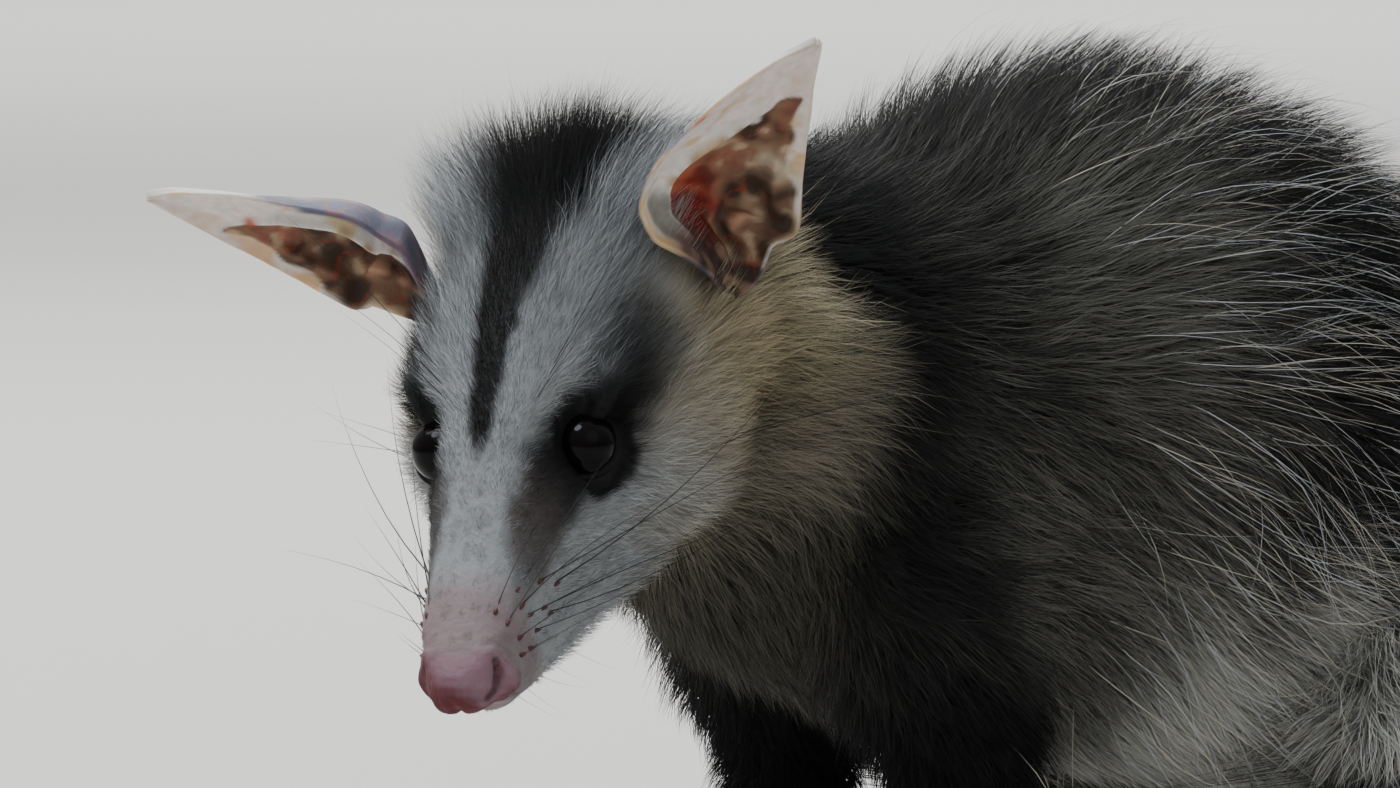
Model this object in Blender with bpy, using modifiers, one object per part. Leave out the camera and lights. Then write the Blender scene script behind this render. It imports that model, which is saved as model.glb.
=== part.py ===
"""White-eared opossum, life size, hunched in a crouch with its head low and turned to its left.

The animal faces -X and its right side is +Y, and it stands on the plane z = 0.  Sizes in the
tables are in millimetres, and the model is in metres.  Each part is shaped from sections, the
long coat of the neck and trunk is built as flat tapered locks, and each part is let into its
neighbour with an even gap.
"""

import math
import random

import bmesh
import bpy
import numpy as np
from mathutils import Matrix, Vector

MM = 0.001

# The gap that neighbouring nodes keep, and the height by which the soles are flattened.
GAP = 0.3

# The middle of the model's box, which moves to the origin.
BOX_MIDDLE = (95.87, 8.26)

# Pose of the head: its place, the turn to its left, nose down, left side a little higher.
HEAD_PLACE = (-110.0, -10.0, 147.0)
HEAD_YAW = 31.5
HEAD_PITCH = 35.5
HEAD_ROLL = 5.0

# Sections of the upper head: along the nose, half width, top, bottom, depth of coat.
SKULL = (
    (105.0, 6.4, -1.4, -13.2, 0.2),
    (100.0, 7.6, 0.4, -14.0, 0.3),
    (94.0, 8.6, 2.6, -14.6, 0.5),
    (86.0, 9.8, 5.6, -15.0, 0.8),
    (78.0, 11.2, 10.0, -15.6, 1.2),
    (69.0, 13.4, 15.8, -16.6, 1.9),
    (60.0, 16.6, 21.4, -18.6, 2.4),
    (50.0, 20.6, 26.6, -21.0, 3.5),
    (40.0, 24.0, 30.4, -23.0, 5.0),
    (28.0, 25.8, 32.4, -24.0, 6.2),
    (14.0, 25.4, 32.4, -24.0, 7.6),
    (1.0, 23.0, 29.8, -22.0, 9.0),
    (-12.0, 19.0, 24.0, -18.0, 9.0),
)
SKULL_WIDEST = -3.0

# Sections of the lower jaw, in the same terms.
JAW = (
    (98.5, 4.6, -13.0, -17.6, 0.2),
    (92.0, 7.0, -12.5, -20.4, 0.4),
    (84.0, 8.8, -12.5, -22.6, 0.8),
    (75.0, 11.0, -12.0, -24.6, 1.3),
    (63.0, 14.4, -11.0, -26.2, 2.0),
    (49.0, 18.4, -9.0, -27.4, 3.0),
    (33.0, 20.8, -7.0, -27.6, 4.5),
    (17.0, 19.6, -5.0, -25.6, 6.0),
    (4.0, 15.0, -3.0, -21.0, 6.0),
)
JAW_WIDEST = -15.0

# Pads on the head: middle, half sizes.  Each stands on both sides.
PADS = (
    ((93.0, 5.4, -9.6), (9.5, 5.0, 5.2)),
    ((47.0, 17.0, 15.4), (9.0, 5.4, 3.8)),
    ((34.0, 18.5, -6.0), (18.0, 10.0, 15.0)),
)

# Eyes: middle, radius, the way they look, and the ring of the lids.
EYE_PLACE = (55.3, 13.6, 6.0)
EYE_RADIUS = 6.0
EYE_LOOK = (0.50, 0.60, 0.62)
LID_RADIUS = 5.3
LID_THICK = 1.15
EYE_OPENING = (3.0, 4.7, 6.6, 9.5)

# The nose is parted from the muzzle here, and its lobes and nostrils in the head's frame.
NOSE_CUT = 101.0
NOSE_LOBES = (
    ((103.8, 1.2, -6.2), (6.4, 5.9, 6.0)),
    ((104.0, 1.6, -9.6), (5.4, 4.6, 4.4)),
    ((99.4, 5.4, -9.2), (5.4, 4.4, 5.2)),
)
NOSTRIL = ((104.2, 7.6, -5.6), (0.45, 0.88, -0.10), 1.2, 3.6)

# The mouth line on the left side, in the head's frame.
MOUTH = (
    (101.6, 0.0, -13.6),
    (99.0, 5.4, -13.4),
    (94.0, 8.4, -13.4),
    (86.0, 10.3, -13.8),
    (77.0, 12.4, -14.8),
    (68.0, 15.2, -17.2),
    (63.0, 16.8, -19.6),
)
MOUTH_WIDE = 0.75
MOUTH_DEEP = 1.7

# Ears in the head's frame: root, axis to the tip, way from the front edge to the rear edge.
EARS = {
    "left": ((15.0, 25.0, 18.0), (-10.9, 35.0, 40.0), (-24.1, 18.9, -20.7)),
    "right": ((20.0, -25.0, 21.0), (7.3, -46.0, 27.4), (-11.9, -18.4, -27.2)),
}
# How far the front and rear rims stand towards the ear's opening.
EAR_RIM = {"left": (3.0, 4.0), "right": (5.5, 2.5)}
EAR_RIM_FADE = ((-0.1, 1.0), (0.2, 1.0), (0.5, 0.8), (0.8, 0.4), (0.97, 0.05))
# Outline of the ear: share of the axis, front edge, rear edge, depth of the cup, thickness.
EAR_ROWS = (
    (-0.07, 9.0, 13.6, 3.0, 2.0),
    (-0.02, 4.4, 15.8, 5.5, 1.9),
    (0.04, -3.0, 16.2, 8.0, 1.8),
    (0.10, -11.5, 16.0, 9.5, 1.6),
    (0.16, -15.8, 16.8, 10.0, 1.5),
    (0.24, -19.6, 16.0, 9.5, 1.4),
    (0.34, -21.3, 13.4, 8.2, 1.25),
    (0.45, -21.0, 10.6, 6.6, 1.15),
    (0.57, -18.2, 8.0, 5.0, 1.05),
    (0.68, -15.4, 6.0, 3.6, 1.0),
    (0.79, -11.6, 3.6, 2.2, 0.95),
    (0.88, -7.6, 2.2, 1.2, 0.85),
    (0.94, -3.2, 1.4, 0.6, 0.8),
    (0.965, -0.8, 0.9, 0.2, 0.7),
)
EAR_ACROSS = 8

# Sections of the neck and trunk: the line, half width, rise, drop, depth of coat.
TRUNK = (
    (-121.0, -16.0, 141.0, 15.0, 17.0, 16.0, 2.0),
    (-109.0, -9.0, 144.0, 23.0, 23.0, 25.0, 6.0),
    (-93.0, -4.0, 139.0, 29.0, 28.0, 35.0, 11.0),
    (-72.0, -1.0, 130.0, 34.0, 33.0, 44.0, 14.0),
    (-46.0, 0.0, 123.0, 37.0, 39.0, 50.0, 16.0),
    (-18.0, 0.0, 121.0, 40.0, 49.0, 56.0, 18.0),
    (10.0, 0.0, 119.0, 42.0, 53.0, 58.0, 19.0),
    (38.0, 0.0, 111.0, 43.0, 51.0, 56.0, 19.0),
    (65.0, 0.0, 96.0, 41.0, 42.0, 48.0, 18.0),
    (88.0, 0.0, 74.0, 35.0, 36.0, 38.0, 17.0),
    (105.0, 0.0, 52.0, 27.0, 27.0, 28.0, 15.0),
    (118.0, 0.0, 36.0, 16.0, 17.0, 18.0, 10.0),
    (127.0, 0.0, 25.0, 7.0, 8.0, 8.0, 5.0),
)
# Share of the coat's depth that the solid under the locks takes.
CORE_SHARE = 0.5

# Locks of the coat, over the neck and trunk: rows along the line from one share to another,
# locks in a row, and each lock's length, half width, half thickness and depth of its root.
LOCK_ROWS = 9
LOCK_FROM, LOCK_TO = 0.13, 0.93
LOCKS_AROUND = 11
LOCK_SIZE = (34.0, 8.0, 2.3, 5.0)
LOCK_SHAPE = ((0.0, 0.75, 1.0), (0.30, 1.0, 1.0), (0.66, 0.74, 0.8))

# The neck ends over the torso in a skirt that follows the coat: way back, height over the core.
SKIRT_PLACE = 0.21
SKIRT = ((40.0, 17.0), (33.0, 9.0), (22.0, 7.2), (11.0, 4.4), (3.0, 1.4), (-2.0, -1.5), (-22.0, -18.0))

# Sections of the limbs: the line, half width, half depth, depth of coat.  The left side is
# given, and y changes sign for the right.
FRONT_LEG = (
    (-52.0, -20.0, 118.0, 12.0, 20.0, 4.0),
    (-54.0, -25.0, 98.0, 13.5, 20.0, 8.0),
    (-50.0, -27.5, 78.0, 12.0, 18.0, 8.5),
    (-44.0, -29.0, 60.0, 9.8, 13.5, 8.0),
    (-47.0, -29.2, 43.0, 8.0, 10.0, 5.0),
    (-52.0, -28.8, 27.0, 6.8, 7.6, 2.4),
    (-57.0, -28.4, 14.0, 6.4, 6.0, 1.4),
    (-60.0, -28.2, 8.0, 6.2, 5.4, 1.2),
)
THIGH = (
    (88.0, -23.0, 84.0, 12.0, 24.0, 5.0),
    (78.0, -31.0, 74.0, 16.0, 27.0, 9.0),
    (64.0, -38.0, 64.0, 16.0, 23.0, 8.0),
    (52.0, -41.0, 54.0, 13.5, 16.0, 6.0),
    (45.0, -42.0, 47.0, 9.0, 9.5, 5.0),
)
SHANK = (
    (48.0, -42.0, 50.0, 9.0, 9.0, 3.5),
    (51.0, -42.0, 42.0, 10.0, 11.0, 4.5),
    (60.0, -41.7, 32.0, 9.4, 11.0, 4.0),
    (70.0, -41.0, 23.0, 8.0, 9.2, 2.8),
    (79.0, -40.4, 15.0, 7.2, 7.8, 1.8),
    (86.0, -40.0, 9.0, 6.8, 6.4, 1.2),
)
FRONT_STEP = 6.0
HIND_STEP = -4.0
# Cuts across the limbs: a point on the left side, and the way that the cut faces.
ELBOW = ((-44.0, -29.0, 61.0), (0.05, 0.0, -1.0))
WRIST = ((-56.0, -28.4, 16.0), (-0.30, 0.0, -1.0))

# Forefoot: palm, toes (angle to the front, length, radius) and claws.
PALM = ((-66.0, -28.4, 6.0), (10.5, 8.6, 6.7))
TOES = ((-62.0, 14.0, 2.5), (-28.0, 18.0, 2.5), (-4.0, 19.5, 2.5), (20.0, 18.5, 2.5), (50.0, 15.0, 2.5))
CLAW = (4.6, 1.0)

# Hind foot: sole from the heel to the ball, toes and the opposable great toe.
SOLE = ((62.0, -40.5, 5.9), (24.0, 7.6, 6.6))
BALL = ((44.0, -40.5, 5.6), (10.0, 9.6, 6.2))
HIND_TOES = ((-34.0, 15.0, 2.7), (-12.0, 18.0, 2.7), (8.0, 18.5, 2.7), (28.0, 16.5, 2.7))
GREAT_TOE = (84.0, 17.0, 3.2)

# The tail: its line, radius and depth of coat, and where it is parted.
TAIL = (
    (112.0, 0.0, 46.0, 14.0, 4.0),
    (124.0, 0.0, 34.0, 12.0, 5.0),
    (137.0, -0.5, 23.0, 10.0, 5.0),
    (154.0, -2.0, 13.6, 8.8, 3.5),
    (178.0, -5.0, 8.6, 8.0, 0.8),
    (210.0, -12.0, 7.3, 7.4, 0.0),
    (248.0, -21.0, 6.5, 6.6, 0.0),
    (288.0, -23.0, 5.7, 5.8, 0.0),
    (326.0, -13.0, 4.9, 5.0, 0.0),
    (357.0, 10.0, 4.1, 4.2, 0.0),
    (375.0, 40.0, 3.4, 3.5, 0.0),
    (374.0, 70.0, 2.6, 2.7, 0.0),
    (357.0, 92.0, 1.6, 1.7, 0.0),
)
TAIL_CUTS = ((176.0, -4.6, 8.6), (292.0, -22.5, 5.6))

# Colours and roughness of the nodes.
COLOURS = {
    "face_fur": ((0.78, 0.76, 0.70, 1.0), 0.80),
    "pink_skin": ((0.72, 0.38, 0.36, 1.0), 0.50),
    "wet_black": ((0.010, 0.009, 0.009, 1.0), 0.10),
    "ear_skin": ((0.66, 0.50, 0.38, 1.0), 0.55),
    "ruff_fur": ((0.66, 0.58, 0.44, 1.0), 0.85),
    "grey_fur": ((0.22, 0.20, 0.19, 1.0), 0.85),
    "black_fur": ((0.035, 0.032, 0.032, 1.0), 0.80),
    "foot_skin": ((0.42, 0.29, 0.28, 1.0), 0.60),
    "tail_black": ((0.060, 0.050, 0.048, 1.0), 0.60),
    "tail_pale": ((0.62, 0.48, 0.42, 1.0), 0.60),
}


def head_matrix():
    """The placing of the head's frame: nose +X, left side +Y, crown +Z."""
    turn = (
        Matrix.Rotation(math.pi + math.radians(HEAD_YAW), 4, "Z")
        @ Matrix.Rotation(math.radians(HEAD_PITCH), 4, "Y")
        @ Matrix.Rotation(math.radians(HEAD_ROLL), 4, "X")
    )
    return Matrix.Translation(HEAD_PLACE) @ turn


def smooth_rows(rows, steps):
    """Rows of numbers on a smooth curve through the given rows, with steps between each two."""
    rows = np.array(rows, float)
    ends = np.vstack([2 * rows[0] - rows[1], rows, 2 * rows[-1] - rows[-2]])
    found = []
    for i in range(len(rows) - 1):
        before, start, end, after = ends[i : i + 4]
        for k in range(steps):
            t = k / steps
            bend = 2 * before - 5 * start + 4 * end - after
            turn = 3 * start - before - 3 * end + after
            found.append(0.5 * (2 * start + (end - before) * t + bend * t * t + turn * t**3))
    found.append(rows[-1])
    return np.array(found)


def loft(rings):
    """A closed bmesh through rings of points, with both ends filled."""
    shape = bmesh.new()
    loops = [[shape.verts.new(p) for p in ring] for ring in rings]
    for first, second in zip(loops, loops[1:]):
        for i in range(len(first)):
            j = (i + 1) % len(first)
            shape.faces.new((first[i], first[j], second[j], second[i]))
    shape.faces.new(list(reversed(loops[0])))
    shape.faces.new(loops[-1])
    bmesh.ops.recalc_face_normals(shape, faces=shape.faces)
    return shape


def to_object(name, shape):
    """A new object that holds the bmesh."""
    mesh = bpy.data.meshes.new(name)
    shape.to_mesh(mesh)
    shape.free()
    made = bpy.data.objects.new(name, mesh)
    bpy.context.scene.collection.objects.link(made)
    return made


def remove(thing):
    """Take an object and its mesh away."""
    mesh = thing.data
    bpy.data.objects.remove(thing)
    bpy.data.meshes.remove(mesh)


def egg(angle, half, rise, drop, power=0.92):
    """A point of an egg-shaped section: across and up."""
    c, s = math.cos(angle), math.sin(angle)
    reach = rise if s > 0 else drop
    return (
        half * math.copysign(abs(c) ** power, c),
        reach * math.copysign(abs(s) ** power, s),
    )


def head_form(name, stations, widest, grow=0.0, sides=28, steps=3):
    """A form of the head from sections across the nose's axis."""
    place = head_matrix()
    rings = []
    for along, half, top, bottom, coat in smooth_rows(stations, steps):
        size = (half + coat + grow, top - widest + coat + grow, widest - bottom + coat + grow)
        ring = []
        for i in range(sides):
            y, z = egg(2 * math.pi * i / sides, *size)
            ring.append(place @ Vector((along, y, widest + z)))
        rings.append(ring)
    return to_object(name, loft(rings))


def frames_along(points, across=None):
    """For each point of a line: the point, its direction, the side and the upright."""
    points = [Vector(p) for p in points]
    frames = []
    for i, point in enumerate(points):
        ahead = (points[min(i + 1, len(points) - 1)] - points[max(i - 1, 0)]).normalized()
        side = Vector(across) if across else Vector((0, 0, 1)).cross(ahead)
        side = (side - ahead * side.dot(ahead)).normalized()
        frames.append((point, ahead, side, ahead.cross(side).normalized()))
    return frames


def tube(name, points, sizes, sides=20, across=None, power=1.0):
    """A form round a line, with (half width, rise, drop) at each of its points."""
    rings = []
    for (point, _, side, up), size in zip(frames_along(points, across), sizes):
        ring = []
        for i in range(sides):
            a, b = egg(2 * math.pi * i / sides, *size, power)
            ring.append(point + side * a + up * b)
        rings.append(ring)
    return to_object(name, loft(rings))


def ball(name, middle, sizes, place=None, turn=None, detail=3):
    """An ellipsoid."""
    shape = bmesh.new()
    bmesh.ops.create_icosphere(shape, subdivisions=detail, radius=1.0)
    matrix = Matrix.Translation(middle) @ (turn or Matrix.Identity(4)) @ Matrix.Diagonal((*sizes, 1.0))
    bmesh.ops.transform(shape, matrix=(place or Matrix.Identity(4)) @ matrix, verts=shape.verts)
    return to_object(name, shape)


def apply(thing):
    """Apply the modifiers of an object."""
    graph = bpy.context.evaluated_depsgraph_get()
    mesh = bpy.data.meshes.new_from_object(thing.evaluated_get(graph))
    old = thing.data
    thing.modifiers.clear()
    thing.data = mesh
    bpy.data.meshes.remove(old)
    return thing


def boolean(thing, other, operation, solver="EXACT"):
    """Join, cut or keep an object with another one, which is taken away."""
    change = thing.modifiers.new("change", "BOOLEAN")
    change.operation = operation
    change.solver = solver
    change.object = other
    apply(thing)
    remove(other)
    return thing


def joined(name, things):
    """One object with the meshes of several ones."""
    shape = bmesh.new()
    for thing in things:
        thing.data.transform(thing.matrix_world)
        shape.from_mesh(thing.data)
        remove(thing)
    return to_object(name, shape)


def one_skin(thing, voxel, smooth, faces):
    """Overlapping forms become one closed skin with about this number of triangles."""
    skin = thing.modifiers.new("skin", "REMESH")
    skin.mode = "VOXEL"
    skin.voxel_size = voxel
    if smooth:
        soft = thing.modifiers.new("soft", "SMOOTH")
        soft.iterations = smooth
        soft.factor = 0.5
    apply(thing)
    return thinned(thing, faces)


def thinned(thing, faces):
    """The object with about this number of triangles."""
    thing.data.calc_loop_triangles()
    now = len(thing.data.loop_triangles)
    if now > faces:
        fewer = thing.modifiers.new("fewer", "DECIMATE")
        fewer.ratio = faces / now
        apply(thing)
    return thing


def largest(thing):
    """Keep only the closed surface with the most volume."""
    shape = bmesh.new()
    shape.from_mesh(thing.data)
    left, bodies = set(shape.verts), []
    while left:
        stack, body = [left.pop()], []
        while stack:
            vert = stack.pop()
            body.append(vert)
            for edge in vert.link_edges:
                other = edge.other_vert(vert)
                if other in left:
                    left.discard(other)
                    stack.append(other)
        bodies.append(body)

    def volume(body):
        faces = {face for vert in body for face in vert.link_faces}
        total = 0.0
        for face in faces:
            ring = [vert.co for vert in face.verts]
            for i in range(1, len(ring) - 1):
                total += ring[0].dot(ring[i].cross(ring[i + 1])) / 6
        return total

    if len(bodies) > 1:
        bodies.sort(key=volume)
        for body in bodies[:-1]:
            bmesh.ops.delete(shape, geom=body, context="VERTS")
    shape.to_mesh(thing.data)
    shape.free()
    return thing


def copy_of(thing, name):
    """A copy of an object."""
    made = bpy.data.objects.new(name, thing.data.copy())
    bpy.context.scene.collection.objects.link(made)
    return made


def grown(thing, name, reach=GAP):
    """A copy whose surface stands off by the gap."""
    made = copy_of(thing, name)
    shape = bmesh.new()
    shape.from_mesh(made.data)
    shape.normal_update()
    shifts = [vert.normal * reach for vert in shape.verts]
    for vert, shift in zip(shape.verts, shifts):
        vert.co += shift
    shape.to_mesh(made.data)
    shape.free()
    return made


def clipped(thing, point, facing):
    """Cut by a plane, and keep the side that the plane faces away from."""
    shape = bmesh.new()
    shape.from_mesh(thing.data)
    parts = shape.verts[:] + shape.edges[:] + shape.faces[:]
    cut = bmesh.ops.bisect_plane(
        shape, geom=parts, plane_co=Vector(point), plane_no=Vector(facing).normalized(), clear_outer=True
    )
    edges = [part for part in cut["geom_cut"] if isinstance(part, bmesh.types.BMEdge)]
    bmesh.ops.holes_fill(shape, edges=edges, sides=0)
    bmesh.ops.recalc_face_normals(shape, faces=shape.faces)
    shape.to_mesh(thing.data)
    shape.free()
    return thing


def parted(thing, names, cuts):
    """Lengths of an object between planes, with the gap between them."""
    made = []
    for i, name in enumerate(names):
        length = copy_of(thing, name)
        if i > 0:
            point, facing = Vector(cuts[i - 1][0]), Vector(cuts[i - 1][1]).normalized()
            clipped(length, point + facing * GAP / 2, -facing)
        if i < len(cuts):
            point, facing = Vector(cuts[i][0]), Vector(cuts[i][1]).normalized()
            clipped(length, point - facing * GAP / 2, facing)
        made.append(largest(length))
    remove(thing)
    return made


def side_of(point, side, step=0.0):
    """A point or direction of the left side, on the named side."""
    if side == "left":
        return Vector(point)
    return Vector((point[0] + step, -point[1], point[2]))


def limb(name, stations, side, step, grow=0.0):
    """A limb from its sections."""
    rows = smooth_rows(stations, 2)
    points = [side_of(row[:3], side, step) for row in rows]
    sizes = [(r[3] + r[5] + grow, r[4] + r[5] + grow, r[4] + r[5] + grow) for r in rows]
    return tube(name, points, sizes, 14, (0, 1, 0))


def trunk_rows(share, steps):
    """The line and sections of the trunk with a share of its coat."""
    rows = smooth_rows(TRUNK, steps)
    points = [row[:3] for row in rows]
    sizes = [(r[3] + 0.8 * share * r[6], r[4] + share * r[6], r[5] + 0.8 * share * r[6]) for r in rows]
    return points, sizes


def toe_parts(root, angle, length, radius, claw):
    """One toe on the floor, and its claw."""
    way = Vector((-math.cos(math.radians(angle)), -math.sin(math.radians(angle)), 0))
    profile = ((0.0, 3.6, 1.15), (0.35, 4.6, 1.0), (0.7, 2.9, 0.95), (0.93, 2.3, 1.0), (1.0, 2.2, 0.7))
    points = [Vector(root) * 1.0 + way * length * share for share, _, _ in profile]
    for point, (_, height, _) in zip(points, profile):
        point.z = height
    sizes = [(radius * thick,) * 3 for _, _, thick in profile]
    toe = tube("toe", points, sizes, 10)
    if not claw:
        return [toe], []
    base = points[-2] + Vector((0, 0, 0.6))
    line = [base - way * 0.6, base + way * 1.6 + Vector((0, 0, 0.5)), base + way * 3.2, base + way * CLAW[0]]
    line[2].z, line[3].z = base.z - 0.2, 0.9
    made = tube("claw", line, [(CLAW[1], 1.2, 1.2), (0.8, 1.0, 1.0), (0.55, 0.7, 0.7), (0.16, 0.2, 0.2)], 6)
    return [toe], [made]


def mirrored(things):
    """Turn forms of the left side to the right."""
    for thing in things:
        thing.data.transform(Matrix.Diagonal((1, -1, 1, 1)))
        thing.data.flip_normals()
    return things


def foot(name, bodies, toes, root, side, step, wrist, faces):
    """A foot from its pads, toes and claws, flat under its sole."""
    things, claws = [ball("pad", middle, sizes) for middle, sizes in bodies], []
    for angle, length, radius, offset, claw in toes:
        flesh, horn = toe_parts(Vector(root) + Vector(offset), angle, length, radius, claw)
        things += flesh
        claws += horn
    if side == "right":
        mirrored(things + claws)
    for thing in things + claws:
        thing.data.transform(Matrix.Translation((0.0 if side == "left" else step, 0, 0)))
    made = one_skin(joined(name, things), 0.75, 2, faces)
    clipped(made, (0, 0, 0), (0, 0, -1))
    for claw in claws:
        boolean(made, claw, "UNION")
    clipped(made, (0, 0, 0.0), (0, 0, -1))
    if wrist:
        point, facing = side_of(wrist[0], side, step), side_of(wrist[1], side).normalized()
        clipped(made, point + facing * GAP / 2, -facing)
    return largest(made)


def between(table, place):
    """The value of a table of pairs at a place."""
    for (first, low), (second, high) in zip(table, table[1:]):
        if place <= second:
            share = max(0.0, (place - first) / (second - first))
            return low + (high - low) * share
    return table[-1][1]


def ear_form(side):
    """The cup of an ear: a curved sheet with thickness, closed round its edge."""
    root, axis, across = (Vector(v) for v in EARS[side])
    length = axis.length
    axis.normalize()
    across = (across - axis * across.dot(axis)).normalized()
    open_way = across.cross(axis) if side == "left" else axis.cross(across)
    rings = []
    for share, front, rear, cup, thick in smooth_rows(EAR_ROWS, 1):
        half, middle = (rear - front) / 2, (rear + front) / 2
        fade = between(EAR_RIM_FADE, share)
        fore, aft = (rim * fade for rim in EAR_RIM[side])
        inner, outer = [], []
        for i in range(EAR_ACROSS + 1):
            place = 2 * i / EAR_ACROSS - 1
            depth = fore + (aft - fore) * (place + 1) / 2 - cup * (1 - abs(place) ** 2.4)
            slope = (aft - fore) / 2 + cup * 2.4 * abs(place) ** 1.4 * math.copysign(1, place)
            face = (open_way * half - across * slope).normalized()
            point = root + axis * length * share + across * (middle + half * place) + open_way * depth
            wall = thick * (1.0 - 0.35 * abs(place) ** 4)
            inner.append(point + face * wall / 2)
            outer.append(point - face * wall / 2)
        rings.append(inner + outer[::-1])
    place = head_matrix()
    return to_object(f"ear_{side}", loft([[place @ p for p in ring] for ring in rings]))


def mouth_cutter():
    """A thin wedge along the mouth line, from one corner round the front to the other."""
    place = head_matrix()
    points = smooth_rows(MOUTH, 2)
    points = [Vector((x, -y, z)) for x, y, z in points[:0:-1]] + [Vector(point) for point in points]
    rings = []
    for point in points:
        outward = Vector((0.25 if abs(point.y) > 4 else 0.9, max(-1.0, min(1.0, point.y / 5)), -0.15))
        outward.normalize()
        rings.append(
            [
                place @ (point - outward * MOUTH_DEEP),
                place @ (point + outward * 2.5 + Vector((0, 0, -MOUTH_WIDE))),
                place @ (point + outward * 2.5 + Vector((0, 0, MOUTH_WIDE))),
            ]
        )
    return to_object("mouth", loft(rings))


def build_head():
    """Head, nose and eyes."""
    place = head_matrix()
    forms = [head_form("skull", SKULL, SKULL_WIDEST), head_form("jaw", JAW, JAW_WIDEST)]
    for middle, sizes in PADS:
        for sign in (1, -1):
            forms.append(ball("pad", (middle[0], middle[1] * sign, middle[2]), sizes, place))
    eyes, looks = {}, {}
    for side, sign in (("left", 1), ("right", -1)):
        middle = Vector((EYE_PLACE[0], EYE_PLACE[1] * sign, EYE_PLACE[2]))
        look = Vector((EYE_LOOK[0], EYE_LOOK[1] * sign, EYE_LOOK[2])).normalized()
        turn = look.to_track_quat("Z", "Y").to_matrix()
        centre = middle + look * 3.6
        ring = [
            centre + turn @ Vector((math.cos(a) * LID_RADIUS, math.sin(a) * LID_RADIUS, 0))
            for a in [2 * math.pi * i / 24 for i in range(24)]
        ]
        shape = bmesh.new()
        loops = []
        for i, point in enumerate(ring):
            out = (point - centre).normalized()
            loops.append(
                [
                    shape.verts.new(place @ (point + (out * math.cos(b) + look * math.sin(b)) * LID_THICK))
                    for b in [2 * math.pi * k / 8 for k in range(8)]
                ]
            )
        for i in range(24):
            for k in range(8):
                first, second = loops[i], loops[(i + 1) % 24]
                shape.faces.new((first[k], second[k], second[(k + 1) % 8], first[(k + 1) % 8]))
        bmesh.ops.recalc_face_normals(shape, faces=shape.faces)
        forms.append(to_object("lid", shape))
        eyes[side] = middle
        looks[side] = look
    whole = one_skin(joined("whole", forms), 0.7, 2, 2600)
    for side in ("left", "right"):
        socket = ball("socket", eyes[side], (EYE_RADIUS + GAP,) * 3, place, detail=2)
        boolean(whole, socket, "DIFFERENCE", "MANIFOLD")
        line = [place @ (eyes[side] + looks[side] * reach) for reach in (1.0, 3.4, 7.0, 14.0)]
        opening = tube("opening", line, [(r,) * 3 for r in EYE_OPENING], 16)
        boolean(whole, opening, "DIFFERENCE", "MANIFOLD")
    boolean(whole, mouth_cutter(), "DIFFERENCE", "MANIFOLD")
    ahead = place.to_3x3() @ Vector((1, 0, 0))
    cut = place @ Vector((NOSE_CUT, 0, 0))
    head = copy_of(whole, "head")
    clipped(head, cut - ahead * GAP / 2, ahead)
    remove(whole)
    lobes = [
        ball("lobe", (middle[0], middle[1] * sign, middle[2]), sizes, place)
        for middle, sizes in NOSE_LOBES
        for sign in (1, -1)
    ]
    nose = one_skin(joined("nose", lobes), 0.45, 2, 460)
    clipped(nose, cut + ahead * GAP / 2, -ahead)
    for sign in (1, -1):
        middle, way, radius, depth = NOSTRIL
        middle = Vector((middle[0], middle[1] * sign, middle[2]))
        way = Vector((way[0], way[1] * sign, way[2])).normalized()
        line = [place @ (middle + way * 2.0), place @ (middle - way * depth)]
        boolean(nose, tube("nostril", line, [(radius * 1.5,) * 3, (radius * 0.6,) * 3], 8), "DIFFERENCE")
    made = [largest(head), largest(nose)]
    for side in ("left", "right"):
        made.append(ball(f"eye_{side}", eyes[side], (EYE_RADIUS,) * 3, place, detail=2))
    return made


def build_ears(head):
    """Both ears, let on to the head with the gap."""
    made = []
    for side in ("left", "right"):
        ear = ear_form(side)
        for cutter in (
            head_form("skull", SKULL, SKULL_WIDEST, GAP + 0.2),
            head_form("jaw", JAW, JAW_WIDEST, GAP + 0.2),
        ):
            boolean(ear, cutter, "DIFFERENCE")
        made.append(largest(ear))
    return made


def build_tail():
    """The tail in three lengths, laid on the floor."""
    rows = smooth_rows(TAIL, 2)
    points = [row[:3] for row in rows]
    sizes = [(row[3] + row[4],) * 3 for row in rows]
    tail = tube("tail", points, sizes, 14)
    clipped(tail, (0, 0, 0), (0, 0, -1))
    cuts = []
    for point in TAIL_CUTS:
        near = min(range(len(points)), key=lambda i: (Vector(points[i]) - Vector(point)).length)
        way = Vector(points[near + 1]) - Vector(points[near - 1])
        cuts.append((point, way))
    return parted(tail, ("tail_base", "tail_middle", "tail_tip"), cuts)


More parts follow.
